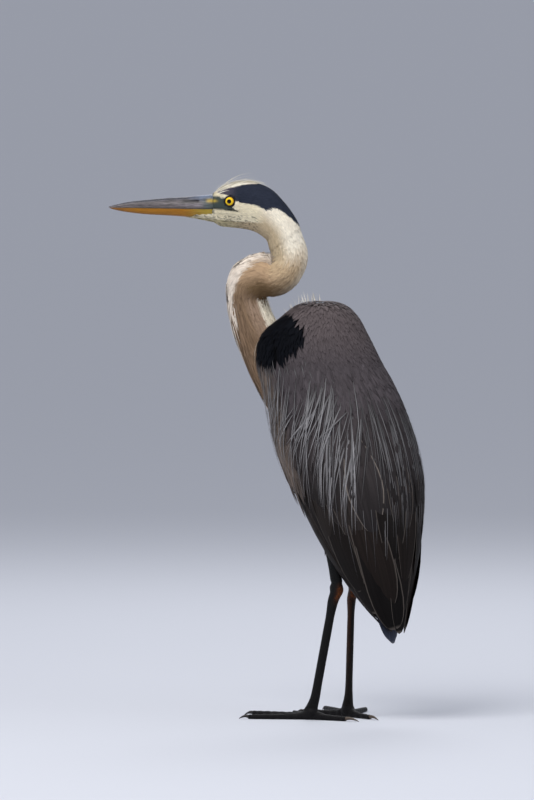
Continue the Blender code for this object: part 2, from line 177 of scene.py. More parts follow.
# rows of centre, half width across and half vector from back to front, one for each section
def neckTable():
    rows = [(*row, 0) for row in headRows]
    rows += bendSections(throatBend, lambda a: (-math.cos(a), -math.sin(a)))
    rows += bendSections(chestBend, lambda a: (math.sin(a), math.cos(a)))
    rows += lowerNeckRows
    table = []
    for frontF, frontZ, backF, backZ, width, share in rows:
        turn = headTurn * (1 - share)
        forward, deep = (frontF + backF) / 2, (frontF - backF) / 2
        onTrunk = -forward * math.tan(headTurn)
        centre = place(forward, (frontZ + backZ) / 2, headDepth + (onTrunk - headDepth) * share)
        left = np.array((math.cos(turn), math.sin(turn), 0)) * width
        table.append((*centre, *left, math.sin(turn) * deep, -math.cos(turn) * deep, (frontZ - backZ) / 2))
    steps = np.linalg.norm(np.diff(np.array(table)[:, :3], axis=0), axis=1)
    return [(step, *row) for step, row in zip(np.concatenate([[0], np.cumsum(steps)]), table)]


neckRows = neckTable()
neckLength = neckRows[-1][0]
headEnd = neckRows[len(headRows) - 1][0]


# along: from the bill backwards and down the neck; angle: 0 left, 90 throat and front, -90 crown and nape
def neckSurface(along, angle, grow=0):
    row = spline(neckRows, along)
    turn = np.radians(angle)[:, None]
    left, half = row[:, 3:6], row[:, 6:9]
    wide = np.linalg.norm(left, axis=1)[:, None]
    deep = np.linalg.norm(half, axis=1)[:, None]
    outward = np.cos(turn) * left / wide * deep + np.sin(turn) * half / deep * wide
    outward /= np.linalg.norm(outward, axis=1)[:, None]
    return row[:, :3] + np.cos(turn) * left + np.sin(turn) * half + outward * np.reshape(grow, (-1, 1))


def headPlace(along, angle):  # forward and height of places on head and neck
    points = neckSurface(along, angle)
    return points @ ahead, points[:, 2] + neckSettle


def normalOf(surface, along, angle):  # points and outward normals
    here = surface(along, angle)
    down = surface(along + 1, angle) - surface(along - 1, angle)
    normal = np.cross(down, surface(along, angle + 1) - surface(along, angle - 1))
    normal *= np.sign(np.einsum("ij,ij->i", normal, here - surface(along, angle, -1)))[:, None]
    return here, unit(normal)


# Making meshes.


def meshOf(name, points, faces):
    mesh = bpy.data.meshes.new(name)
    mesh.from_pydata([tuple(p) for p in np.asarray(points) * mm + standPoint], [], [tuple(f) for f in faces])
    mesh.update()
    mesh.shade_smooth()
    return mesh


def loftFaces(rings, sides, closed=True):
    faces = []
    for a in range(0, (rings - 1) * sides, sides):
        for j in range(sides if closed else sides - 1):
            k = (j + 1) % sides
            faces.append((a + j, a + k, a + sides + k, a + sides + j))
    return faces


def objectOf(name, mesh):
    piece = bpy.data.objects.new(name, mesh)
    bpy.context.scene.collection.objects.link(piece)
    return piece


def store(mesh, name, kind, values):  # one row of values for each point
    field = "color" if kind == "FLOAT_COLOR" else "vector"
    stored = mesh.attributes.new(name, kind, "POINT")
    stored.data.foreach_set(field, np.asarray(values, np.float32).ravel())


def paint(mesh, tone):
    count = len(mesh.vertices)
    store(mesh, "tone", "FLOAT_COLOR", np.column_stack([np.broadcast_to(tone, (count, 3)), np.ones(count)]))


def facesOut(mesh):
    shape = bmesh.new()
    shape.from_mesh(mesh)
    bmesh.ops.remove_doubles(shape, verts=shape.verts, dist=1e-6)
    bmesh.ops.recalc_face_normals(shape, faces=shape.faces)
    shape.to_mesh(mesh)
    shape.free()
    mesh.shade_smooth()


# a closed solid through rings of points, capped at both ends unless the rings close by themselves
def closedLoft(name, rings, tone=None, capped=True):
    count, sides = len(rings), len(rings[0])
    faces = loftFaces(count, sides)
    if capped:
        faces += [tuple(range(sides)), tuple((count - 1) * sides + i for i in range(sides))[::-1]]
    mesh = meshOf(name, np.concatenate(rings), faces)
    if tone is not None:
        paint(mesh, tone)
    facesOut(mesh)
    return objectOf(name, mesh)


def settled(piece):  # its modifiers turned into plain mesh
    mesh = bpy.data.meshes.new_from_object(piece.evaluated_get(bpy.context.evaluated_depsgraph_get()))
    piece.modifiers.clear()
    piece.data = mesh
    mesh.name = piece.name
    return piece


def joined(name, pieces):
    with bpy.context.temp_override(
        active_object=pieces[0], selected_editable_objects=pieces, object=pieces[0], selected_objects=pieces
    ):
        bpy.ops.object.join()
    pieces[0].name = name
    pieces[0].data.name = name
    return pieces[0]


def oneSurface(piece, voxel, rounds):  # joined solids melted into one smooth surface
    remesh = piece.modifiers.new("oneSurface", "REMESH")
    remesh.mode = "VOXEL"
    remesh.voxel_size = voxel * mm
    smooth = piece.modifiers.new("soft", "SMOOTH")
    smooth.factor, smooth.iterations = 0.5, rounds
    settled(piece).data.shade_smooth()


def pointsOf(mesh):  # in millimetres from the stand point
    points = np.empty(len(mesh.vertices) * 3, np.float32)
    mesh.vertices.foreach_get("co", points)
    return (points.reshape(-1, 3) - standPoint) / mm


def nearestOf(samples, points):
    tree = KDTree(len(samples))
    for i, point in enumerate(samples):
        tree.insert(Vector(point), i)
    tree.balance()
    return np.array([tree.find(Vector(point))[1] for point in points])


def finishPiece(piece, material, slotName, *nodes):
    if material is not None:
        piece.data.materials.clear()
        piece.data.materials.append(material)
    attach(piece, "root")
    if nodes:
        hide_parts(*nodes)
    return piece


# Nodes and materials.


def addNode(tree, kind, wires=None, **settings):
    made = tree.nodes.new(kind)
    for key, value in settings.items():
        setattr(made, key, value)
    for socket, value in (wires or {}).items():
        if isinstance(value, bpy.types.NodeSocket):
            tree.links.new(value, made.inputs[socket])
        else:
            made.inputs[socket].default_value = value
    return made


class Shader:  # a short way to write a material's nodes
    def __init__(self, name, roughness, specular):
        self.material = bpy.data.materials.new(name)
        self.material.use_nodes = True
        self.tree = self.material.node_tree
        self.base = self.tree.nodes["Principled BSDF"].inputs
        self.base["Roughness"].default_value = roughness
        self.base["Specular IOR Level"].default_value = specular

    def node(self, kind, wires=None, **settings):
        return addNode(self.tree, kind, wires, **settings)

    def math(self, operation, *values):
        return self.node("ShaderNodeMath", dict(enumerate(values)), operation=operation).outputs[0]

    def attribute(self, name, output):
        return self.node("ShaderNodeAttribute", attribute_name=name).outputs[output]

    def noise(self, vector, scale, detail, stretch=None):
        if stretch:
            vector = self.node("ShaderNodeMapping", {"Vector": vector, "Scale": stretch}).outputs[0]
        wires = {"Vector": vector, "Scale": scale, "Detail": detail}
        return self.node("ShaderNodeTexNoise", wires).outputs["Fac"]

    def lively(self, noise, amount):  # a level that wavers round 1
        return self.math("MULTIPLY_ADD", self.math("SUBTRACT", noise, 0.5), amount * 2, 1.0)

    def mix(self, share, first, second, blendType="MIX"):
        wires = {"Factor": share, "A": first, "B": second}
        return self.node("ShaderNodeMix", wires, data_type="RGBA", blend_type=blendType).outputs["Result"]

    def shaded(self, tone, level):  # a tone made lighter or darker
        grey = self.node("ShaderNodeCombineColor", {0: level, 1: level, 2: level}).outputs[0]
        return self.mix(1.0, tone, grey, "MULTIPLY")

    def span(self, value, low, high):
        wires = {0: value, 1: low, 2: high, 3: 0.0, 4: 1.0}
        return self.node("ShaderNodeMapRange", wires, interpolation_type="SMOOTHSTEP").outputs[0]

    def bump(self, height, strength, distance):
        made = self.node("ShaderNodeBump", {"Height": height, "Strength": strength, "Distance": distance})
        self.tree.links.new(made.outputs[0], self.base["Normal"])

    def colour(self, socket):
        self.tree.links.new(socket, self.base["Base Color"])


# Attribute blade holds across, along and half width; tone a feather's colour and its chance; fringe its edge.
def plumageMaterial(name, strands, contrast, shaft, roughness, depth, rootShade=0.0, rootReach=0.45):
    shader = Shader(name, roughness, 0.06)
    blade = shader.node("ShaderNodeSeparateXYZ", {0: shader.attribute("blade", "Vector")}).outputs
    across, along = blade[0], blade[1]
    side = shader.math("ABSOLUTE", across)
    wires = {
        0: shader.math("MULTIPLY", across, strands),
        1: shader.math("MULTIPLY", shader.math("MULTIPLY_ADD", side, -0.3, along), 1.6),
        2: shader.math("MULTIPLY", shader.attribute("tone", "Alpha"), 97.0),
    }
    barb = shader.noise(shader.node("ShaderNodeCombineXYZ", wires).outputs[0], 1.0, 2.0)
    level = shader.lively(barb, contrast)
    if rootShade:
        rise = shader.math("MULTIPLY_ADD", shader.span(along, 0.0, rootReach), rootShade, 1 - rootShade)
        level = shader.math("MULTIPLY", level, rise)
    lit = shader.shaded(shader.attribute("tone", "Color"), level)
    edge, tip = shader.span(side, 0.91, 0.985), shader.span(along, 0.975, 0.993)
    rim = shader.math("MULTIPLY", shader.math("MAXIMUM", edge, tip), shader.attribute("fringe", "Alpha"))
    withRim = shader.mix(rim, lit, shader.attribute("fringe", "Color"))
    quill = shader.math("MULTIPLY", shader.span(side, 0.1, 0.02), shader.span(along, 0.98, 0.4))
    shader.colour(shader.mix(shader.math("MULTIPLY", quill, shaft), withRim, (0.012, 0.011, 0.011, 1.0)))
    shader.bump(barb, 0.35, depth * mm)
    return shader.material


# A surface whose tone is painted on its points. scales: cells for a metre, depth, darkening;
# streaks: strength and scale of marks along the piece.
def paintedMaterial(
    name, roughness, specular, grain=0.0, grainScale=300.0, scales=None, coat=0.0, streaks=None
):
    shader = Shader(name, roughness, specular)
    tone = shader.attribute("tone", "Color")
    here = shader.node("ShaderNodeTexCoord").outputs["Object"]
    if grain:
        tone = shader.shaded(tone, shader.lively(shader.noise(here, grainScale, 4.0), grain))
    if streaks:
        mark = shader.noise(shader.attribute("streakPlace", "Vector"), streaks[1], 4.0, (0.12, 1.0, 1.0))
        tone = shader.shaded(tone, shader.lively(mark, streaks[0]))
        shader.bump(mark, 0.5, 0.0005)
    if scales:
        cells, deep, dark = scales
        wires = {"Vector": here, "Scale": cells}
        cell = shader.node("ShaderNodeTexVoronoi", wires, feature="DISTANCE_TO_EDGE").outputs["Distance"]
        rim = shader.span(cell, 0.0, 0.16)
        tone = shader.shaded(tone, shader.math("MULTIPLY_ADD", rim, 1 - dark, dark))
        shader.bump(rim, 0.8, deep)
    elif grain:
        shader.bump(shader.noise(here, grainScale * 2, 3.0), 0.25, 0.0004)
    shader.colour(tone)
    shader.base["Coat Weight"].default_value = coat
    shader.base["Coat Roughness"].default_value = 0.12
    return shader.material


# Feather shapes: columns, stations along, roundness of the tip, width at the root, camber, widest place.
featherShapes = {
    "small": (3, (0, 0.35, 0.68, 0.9, 1), 1.9, 0.35, 0.1, 0.6),
    "soft": (3, (0, 0.35, 0.68, 0.88, 1), 1.4, 0.6, 0.04, 0.4),
    "hair": (3, (0, 0.4, 0.75, 1), 1.25, 0.5, 0.12, 0.35),
    "plume": (3, (0, 0.15, 0.3, 0.45, 0.6, 0.72, 0.84, 0.93, 1), 1.1, 0.4, 0.12, 0.3),
    "long": (5, (0, 0.2, 0.4, 0.6, 0.78, 0.9, 0.97, 1), 1.6, 0.5, 0.08, 0.5),
    "flight": (
        7, (0, 0.08, 0.18, 0.3, 0.42, 0.54, 0.66, 0.76, 0.84, 0.9, 0.95, 0.98, 1), 2.0, 0.45, 0.07, 0.55,
    ),
    "tertial": (
        9, (0, 0.1, 0.22, 0.34, 0.46, 0.56, 0.65, 0.73, 0.8, 0.86, 0.91, 0.95, 0.98, 1), 1.5, 0.5, 0.06, 0.5,
    ),
    "rounded": (
        9, (0, 0.12, 0.26, 0.4, 0.54, 0.66, 0.76, 0.84, 0.9, 0.94, 0.97, 0.99, 1), 2.1, 0.5, 0.06, 0.72,
    ),
}  # fmt: skip
# Coats: strands across a vane, contrast, dark shaft, roughness, depth of the barbs in millimetres, and where
# it has one, shade at the root and how far it reaches.
coatFinishes = {
    "fine": (3.0, 0.3, 0.0, 0.85, 0.15),
    "neck": (3.0, 0.3, 0.0, 0.85, 0.15),
    "body": (5.0, 0.45, 0.0, 0.75, 0.2),
    "plume": (2.5, 0.4, 0.0, 0.7, 0.15, 0.5),
    "flight": (7.0, 0.6, 0.4, 0.6, 0.25, -0.9, 0.95),
}
coatMaterials = {name: plumageMaterial(name + "Coat", *finish) for name, finish in coatFinishes.items()}


# a unit feather: y from 0 at the root to 1, x across
def vaneShape(name, columns, stations, tip, root, camber, widest):
    points, blade = [], []
    for y in stations:
        if y < widest:
            half = root + (1 - root) * math.sin(y / widest * math.pi / 2)
        else:
            half = max(0.0, 1 - ((y - widest) / (1 - widest)) ** tip) ** (1 / tip)
        half = max(half, 0.03)
        for x in np.linspace(-1, 1, columns):
            lift = camber * (1 - x * x) * half * math.sin(min(1, y * 1.2) * math.pi * 0.5)
            points.append((x * half * 0.5, y, lift))
            blade.append((x, y, half))
    mesh = bpy.data.meshes.new(name)
    mesh.from_pydata(points, [], [face[::-1] for face in loftFaces(len(stations), columns, closed=False)])
    mesh.update()
    mesh.shade_smooth()
    store(mesh, "blade", "FLOAT_VECTOR", blade)
    return bpy.data.objects.new(name, mesh)


featherModels = {name: vaneShape(name, *shape) for name, shape in featherShapes.items()}


# points with attributes in, one feather on each out, bent to follow the body
def featherTree():
    tree = bpy.data.node_groups.new("layFeathers", "GeometryNodeTree")
    inputs = {"Geometry": "Geometry", "Feather": "Object", "Material": "Material", "Patch": "Float"}
    for name, kind in inputs.items():
        tree.interface.new_socket(name, in_out="INPUT", socket_type="NodeSocket" + kind)
    tree.interface.new_socket("Geometry", in_out="OUTPUT", socket_type="NodeSocketGeometry")
    source = addNode(tree, "NodeGroupInput").outputs

    def named(name):
        made = addNode(tree, "GeometryNodeInputNamedAttribute", {"Name": name}, data_type="FLOAT_VECTOR")
        return made.outputs["Attribute"]

    def vector(operation, wires):
        return addNode(tree, "ShaderNodeVectorMath", wires, operation=operation).outputs[0]

    def times(first, second):
        return addNode(tree, "ShaderNodeMath", {0: first, 1: second}, operation="MULTIPLY").outputs[0]

    shape = addNode(tree, "GeometryNodeObjectInfo", {"Object": source["Feather"]}).outputs["Geometry"]
    axes = {"Primary Axis": named("lie"), "Secondary Axis": named("stand")}
    turn = addNode(tree, "FunctionNodeAxesToRotation", axes, primary_axis="Y", secondary_axis="Z").outputs[0]
    wires = {"Points": source["Geometry"], "Instance": shape, "Rotation": turn, "Scale": named("size")}
    laid = addNode(tree, "GeometryNodeInstanceOnPoints", wires).outputs["Instances"]
    real = addNode(tree, "GeometryNodeRealizeInstances", {"Geometry": laid}).outputs["Geometry"]
    across, along, half = addNode(tree, "ShaderNodeSeparateXYZ", {0: named("blade")}).outputs
    droop = vector("SCALE", {0: named("sag"), "Scale": times(along, along)})
    twist = vector("SCALE", {0: named("twist"), "Scale": times(times(across, half), along)})
    wires = {"Geometry": real, "Offset": vector("ADD", {0: droop, 1: twist})}
    bent = addNode(tree, "GeometryNodeSetPosition", wires).outputs["Geometry"]
    spread = vector("SCALE", {0: named("blade"), "Scale": source["Patch"]})
    wires = {"Geometry": bent, "Name": "OFBake", "Value": vector("ADD", {0: named("rootMap"), 1: spread})}
    settings = {"data_type": "FLOAT2", "domain": "CORNER"}
    mapped = addNode(tree, "GeometryNodeStoreNamedAttribute", wires, **settings).outputs["Geometry"]
    wires = {"Geometry": mapped, "Material": source["Material"]}
    coat = addNode(tree, "GeometryNodeSetMaterial", wires).outputs["Geometry"]
    addNode(tree, "NodeGroupOutput", {"Geometry": coat})
    return tree


layFeathers = featherTree()


def varied(tone, amount):  # each feather a little lighter or darker; the alpha is its chance
    light = 1 + random.normal(0, amount, len(tone))[:, None]
    return np.column_stack([np.clip(tone * light, 0, 1), random.random(len(tone))])


def fringeOf(colour, share, count):
    return np.column_stack([np.broadcast_to(colour, (count, 3)), np.broadcast_to(share, count)])


# One piece of coat: arrays in millimetres, one row for each feather. patch: a feather's place on the bake map.
def layTract(name, look, laid, tone, rootMap, fringe=None, patch=0.0015):
    roots, lie, stand, size, sag, twist = laid
    count = len(roots)
    fringe = fringeOf(tone, 0.0, count) if fringe is None else fringe
    mesh = bpy.data.meshes.new(name)
    mesh.vertices.add(count)
    mesh.vertices.foreach_set("co", (roots * mm + standPoint).astype(np.float32).ravel())
    spare = {"lie": lie, "stand": stand, "size": size * mm, "sag": sag * mm, "twist": twist * mm}
    spare["rootMap"] = np.column_stack([rootMap, np.zeros(count)])
    for key, value in spare.items():
        store(mesh, key, "FLOAT_VECTOR", value)
    store(mesh, "tone", "FLOAT_COLOR", varied(tone, look["vary"]))
    store(mesh, "fringe", "FLOAT_COLOR", fringe)
    piece = objectOf(name, mesh)
    layer = piece.modifiers.new("feathers", "NODES")
    layer.node_group = layFeathers
    items = [item for item in layFeathers.interface.items_tree if item.in_out == "INPUT"]
    sockets = {item.name: item.identifier for item in items}
    layer[sockets["Feather"]] = featherModels[look["shape"]]
    layer[sockets["Material"]] = coatMaterials[look["coat"]]
    layer[sockets["Patch"]] = patch
    settled(piece)
    for key in spare:
        if key in piece.data.attributes:
            piece.data.attributes.remove(piece.data.attributes[key])
    return finishPiece(piece, None, look["slot"])


# feathers as parabolas through three points, turned to keep flat on the surface at both ends
def layBetween(root, middle, tip, normal, tipNormal, width):
    lie = unit((4 * middle - tip - 3 * root))
    span = np.linalg.norm(middle - root, axis=1) + np.linalg.norm(tip - middle, axis=1)
    sag = tip - (root + lie * span[:, None])
    rootSide = unit(np.cross(lie, normal))
    tipSide = unit(np.cross(unit(tip - middle), tipNormal))
    twist = (tipSide - rootSide) * np.reshape(width, (-1, 1)) / 2
    width = np.broadcast_to(width, len(root))
    return root, lie, normal, np.column_stack([width, span, width]), sag, twist


# feathers on a surface from given roots to given tips; lifts are heights above it
def tractBetween(surface, along, angle, tipAlong, tipAngle, width, rootLift, lift):
    root, normal = normalOf(surface, along, angle)
    tip, tipNormal = normalOf(surface, tipAlong, tipAngle)
    middle, midNormal = normalOf(surface, (along + tipAlong) / 2, (angle + tipAngle) / 2)
    rootLift = np.broadcast_to(rootLift, len(along))[:, None]
    lift = np.broadcast_to(lift, len(along))[:, None]
    middle = middle + midNormal * (rootLift * 0.35 + lift * 0.65)
    return layBetween(root + normal * rootLift, middle, tip + tipNormal * lift, normal, tipNormal, width)


def ranged(look, *keys):  # random values inside a look's ranges, one for each of its feathers
    return [random.uniform(*look[key], look["count"]) for key in keys]


# feathers that run down a surface, turned aside by drift degrees
def tractOn(surface, along, angle, length, width, rootLift, lift, drift=0.0, jitter=0.1):
    count = len(along)
    length = np.broadcast_to(length, count) * (1 + random.normal(0, jitter, count))
    width = np.broadcast_to(width, count) * (1 + random.normal(0, jitter, count))
    drift = np.radians(np.broadcast_to(drift, count) + random.normal(0, 40 * jitter, count))
    perDegree = np.linalg.norm(surface(along, angle + 1) - surface(along, angle), axis=1)
    aside = np.clip(np.sin(drift) * length / np.maximum(perDegree, 0.1), -50, 50)
    perStep = np.linalg.norm(surface(along + 1, angle) - surface(along, angle), axis=1)
    onward = np.cos(drift) * length / np.maximum(perStep, 0.3)
    lift = lift + random.normal(0, 0.25, count) * np.abs(lift)
    return tractBetween(surface, along, angle, along + onward, angle + aside, width, rootLift, lift)


# staggered roots over a patch of a surface; an edge may be a function of along
def rowsOn(look, surface, alongRange, angleRange):
    along, angle, step, spread = [], [], look["step"], look["spread"]
    for i, at in enumerate(np.arange(*alongRange, step)):
        zero, one = surface(np.array([at, at]), np.array([0.0, 1.0]))
        perDegree = np.linalg.norm(one - zero)
        low, high = (edge(at) if callable(edge) else edge for edge in angleRange)
        gap = spread / max(perDegree, 0.08)
        across = np.arange(low + (i % 2) * gap * 0.5, high, gap)
        along += [at] * len(across)
        angle += list(across)
    along, angle = np.array(along), np.array(angle)
    along += random.normal(0, step * 0.16, len(along))
    angle += random.normal(0, 1, len(angle)) * 0.12 * spread / 1.2
    return along, angle


# Markings: one set of tones for skin and coat.


def linear(r, g, b):
    value = np.array((r, g, b)) / 255
    return np.where(value < 0.04045, value / 12.92, ((value + 0.055) / 1.055) ** 2.4)


def blend(first, second, share):
    share = np.asarray(share)[:, None]
    return first * (1 - share) + second * share


plumageTones = {
    "mantle": (86, 78, 79), "back": (69, 64, 67), "wing": (60, 55, 56), "wingLow": (30, 28, 27),
    "tips": (16, 14, 14), "warm": (42, 34, 30), "patch": (8, 10, 16), "flank": (112, 100, 91),
    "belly": (178, 170, 160), "black": (12, 12, 16), "cap": (44, 49, 62), "capFront": (92, 86, 98),
    "white": (236, 228, 210), "frontWhite": (230, 218, 204), "cream": (226, 212, 188),
    "crown": (240, 234, 218), "cheek": (228, 218, 190), "buffUp": (190, 172, 142), "buff": (188, 164, 132),
    "tan": (176, 148, 118), "brown": (124, 102, 82), "brownPale": (150, 128, 110),
    "brownAndShade": (118, 95, 68), "rust": (120, 74, 46), "chin": (190, 180, 144), "yellow": (206, 176, 60),
    "lores": (56, 66, 64), "gape": (26, 28, 32), "plume": (158, 156, 158), "tail": (62, 66, 80),
}  # fmt: skip
plumageTones = {name: linear(*tone) for name, tone in plumageTones.items()}


def layered(tone, *layers):  # each layer is a tone, or the name of one, and its share
    for over, share in layers:
        tone = blend(tone, plumageTones[over] if isinstance(over, str) else over, share)
    return tone


def evenTone(name, count):
    return np.broadcast_to(plumageTones[name], (count, 3))


def between(value, low, high, soft=0.7):
    return smoothStep(-soft, soft, value - low) * smoothStep(soft, -soft, value - high)


def folded(angle):  # the same value on the bird's left and right: -90 to 90 degrees
    turn = (np.asarray(angle, float) + 180) % 360 - 180
    return np.where(turn > 90, 180 - turn, np.where(turn < -90, -180 - turn, turn))


# outline of the black patch at the bend of the wing: angle and height
shoulderPatch = (
    (-37, 565), (-14, 563), (2, 557), (16, 545), (22, 533), (19, 522), (12, 512), (3, 505), (-14, 493),
    (-28, 492), (-46, 496), (-62, 503), (-56, 519), (-51, 539), (-49, 555),
)  # fmt: skip


def patchShare(along, angle):  # 1 inside the black patch, soft at its edge
    perDegree, soft = 1.35, 1.2  # both in millimetres
    x, y = folded(angle) * perDegree, heightOf(along)
    corners = np.array(shoulderPatch, float) * (perDegree, 1)
    inside, nearest = np.zeros(x.shape, bool), np.full(x.shape, 1e3)
    for a, b in zip(corners, np.roll(corners, -1, axis=0)):
        edge = b - a
        inside ^= ((a[1] > y) != (b[1] > y)) & (x < edge[0] * (y - a[1]) / (edge[1] + 1e-9) + a[0])
        t = np.clip(((x - a[0]) * edge[0] + (y - a[1]) * edge[1]) / (edge @ edge), 0, 1)
        nearest = np.minimum(nearest, np.hypot(x - a[0] - t * edge[0], y - a[1] - t * edge[1]))
    return smoothStep(soft, -soft, np.where(inside, -nearest, nearest))


def bodyTone(along, angle):
    tones = plumageTones
    f, h = folded(angle), heightOf(along)
    upper = blend(tones["mantle"], tones["back"], smoothStep(560, 480, h))
    wing = blend(tones["wing"], tones["wingLow"], smoothStep(400, 250, h))
    tone = layered(upper, (wing, smoothStep(460, 380, h)), ("tips", smoothStep(230, 140, h)))
    tone = tone * (1 - 0.22 * smoothStep(36, 66, f) * smoothStep(470, 420, h))[:, None]  # darker at the back
    return layered(
        tone,
        ("flank", smoothStep(-12, -36, f) * smoothStep(260, 350, h) * smoothStep(500, 480, h)),
        ("belly", smoothStep(-66, -74, f) * smoothStep(515, 480, h)),
        ("patch", patchShare(along, angle)),
    )


# edges of the black cap and of the dark lores, as (forward, height)
headMarks = {
    "capUpper": (
        (60, 760), (113, 760), (119, 751), (144, 749), (150, 747), (165, 743.5), (178.5, 739.5), (184, 737),
    ),
    "capLower": (
        (60, 690), (68.6, 695), (79.8, 705.6), (92.4, 714.7), (100.8, 718), (112, 714.7), (124.6, 720.5),
        (140, 722.8), (149, 724), (154, 728), (160, 733), (168, 734.5), (178.5, 736.5), (184, 737),
    ),
    "loresUpper": ((148, 712.5), (154, 714), (160, 719), (166, 729), (172, 731.5), (180, 733), (190, 735)),
    "loresLower": ((148, 711.5), (154, 711.8), (165, 713), (175, 714), (190, 714.5)),
}  # fmt: skip
# edges of the neck's white front and of its streaks, as (way down the neck, angle)
neckMarks = {
    "whiteFront": (
        (68, 50), (85, 42), (98, 33), (110, 26), (125, 13), (140, 8), (155, 14), (168, 32), (186, 47),
        (240, 60),
    ),
    "streaks": (
        (90, 66), (105, 62), (117, 55), (126, 46), (135, 38), (150, 32), (165, 36), (190, 46), (315, 50),
    ),
}  # fmt: skip


# nape pale and throat side buff above, with brown and painted shade where the upper bend faces down; brown
# below, with a pale streaked stripe in front
def neckTone(along, angle):
    tones = plumageTones
    g, down = folded(angle), along - headEnd
    forward, height = headPlace(along, angle)
    onHead = smoothStep(30, 0, down)
    lines = {name: ramp(forward, line) for name, line in headMarks.items()}
    front, streaked = (g - ramp(down, neckMarks[name]) for name in ("whiteFront", "streaks"))
    side = np.sign(np.cos(np.radians(angle)))
    dashes = smoothStep(0.0, 0.4, np.sin(along / 5.2 + 2.2 * side))
    dashes = dashes * smoothStep(-0.35, 0.1, np.sin(np.radians(angle) * 14 + along * 0.11))
    streak = smoothStep(-2, 4, streaked) * smoothStep(88, 80, g) * smoothStep(84, 92, down)
    cap = between(height, lines["capLower"], lines["capUpper"], 0.8) * smoothStep(181, 176, forward)
    capTone = blend(tones["cap"], tones["capFront"], smoothStep(148, 174, forward))
    ring = np.hypot(forward - eyePlace["forward"], height - eyePlace["height"])
    lores = between(height, lines["loresLower"], lines["loresUpper"])
    return layered(
        blend(tones["white"], tones["buffUp"], smoothStep(-15, 32, g)),
        (blend(tones["cream"], tones["buff"], smoothStep(-82, -35, g)), smoothStep(25, 60, down)),
        # brown with painted shade on the nape side of the upper bend, where it faces down
        (blend(tones["brownAndShade"], tones["tan"], smoothStep(-35, 15, g)), smoothStep(60, 92, down)),
        (blend(tones["brownPale"], tones["brown"], smoothStep(-50, -5, g)), smoothStep(108, 160, down)),
        ("white", smoothStep(-52, -68, g) * smoothStep(118, 140, down) * smoothStep(215, 185, down)),
        ("frontWhite", smoothStep(-5, 9, front) * smoothStep(56, 76, down)),
        ("black", streak * dashes * 0.92),
        ("chin", smoothStep(711, 700, height) * smoothStep(140, 172, forward) * onHead * 0.85),
        (
            "cheek",
            between(height, lines["loresLower"] - 14, lines["capLower"], 1.0)
            * smoothStep(110, 130, forward)
            * onHead,
        ),
        ("lores", lores * smoothStep(147, 151, forward) * onHead),
        ("gape", hump(height, lines["loresLower"] + 1.0, 1.3) * smoothStep(149, 153, forward) * onHead * 0.85),
        ("yellow", hump(forward, 185, 5.0) * hump(height, 726.8, 1.9) * onHead),
        ("crown", smoothStep(-0.5, 1.5, height - lines["capUpper"]) * onHead),
        (capTone, cap * smoothStep(690, 694, height)),
        ("lores", smoothStep(4, 1, along) * smoothStep(704, 708, height)),
        ("black", smoothStep(9.2, 8.0, ring) * onHead),
    )


# places on the bake map: trunk and wings on its left, neck on its right, thighs and tail along its top
def sheetMap(along, angle, left, length):
    return np.column_stack([left + 0.46 * (np.asarray(angle) % 360) / 360, 0.02 + 0.86 * along / length])


def bodyMap(along, angle):
    return sheetMap(along, angle, 0.02, 500)


def neckMap(along, angle):
    return sheetMap(along, angle, 0.52, neckLength)


def topMap(points, left):
    return np.column_stack([left + points[:, 0] / 1000, np.interp(points[:, 2], (100, 330), (0.91, 0.98))])


# a tract that runs down neck or body as its look says, apart from what is changed
def layDown(name, look, surface, along, angle, tone, fringe=None, **changed):
    own = {key: look[key] for key in ("length", "width", "rootLift", "lift", "jitter") if key in look}
    laid = tractOn(surface, along, angle, **{**own, **changed})
    tone = tone() if callable(tone) else tone  # a tone with chances of its own draws them after the feathers
    mapOf = bodyMap if surface is bodySurface else neckMap
    return layTract(name, look, laid, tone, mapOf(along, angle), fringe)


# Skin: one closed surface under the coat of head, neck, trunk and thighs.

# joints across and fore-and-aft, headings of the foot and its hind toe in degrees, and which way is out
legPlaces = {
    "left": {
        "knee": (26, -20), "hock": (24, 4), "foot": (34, -33), "ahead": -4, "hind": 184, "outward": 1,
    },
    "right": {
        "knee": (-26, -24), "hock": (-22, -2), "foot": (-34, -18), "ahead": -38, "hind": 158, "outward": -1,
    },
}  # fmt: skip
legHeights = {"knee": 318, "hock": 184, "foot": 9}
thighShare = 0.6  # the feathered share of the way from knee to hock
# share of the way from knee to hock, half width, half depth
thighRows = ((0.0, 18, 22), (0.25, 15.5, 19), (0.48, 10.0, 13.2), (0.6, 7.6, 10.8))
shankRows = ((0.6, 7.2, 10.4), (0.8, 6.2, 9.2), (0.92, 6.2, 9.4))
skinShape = {
    "sides": 48, "faceInset": 0.2, "headInset": 1.2, "napeInset": 1.6, "neckInset": 3.0, "bodyInset": 5.0,
    "thighInset": 2.5, "vent": (256, 94, 2.4), "voxel": 2.6, "softening": 4, "shade": 0.9,
    "finish": {"roughness": 0.8, "specular": 0.2},
}  # fmt: skip


def legPoint(side, which):
    return np.array((*legPlaces[side][which], legHeights[which]), float)


def thighSurface(side):
    knee, hock = legPoint(side, "knee"), legPoint(side, "hock")
    reach = np.linalg.norm(hock - knee)

    def surface(along, angle, grow=0):
        half = spline(thighRows, np.clip(along / reach, 0, thighShare)) + np.reshape(grow, (-1, 1))
        turn = np.radians(angle)
        flat = np.column_stack([np.cos(turn) * half[:, 0], np.sin(turn) * half[:, 1], np.zeros(len(turn))])
        return knee + (hock - knee) * (along / reach)[:, None] + flat

    return surface, reach


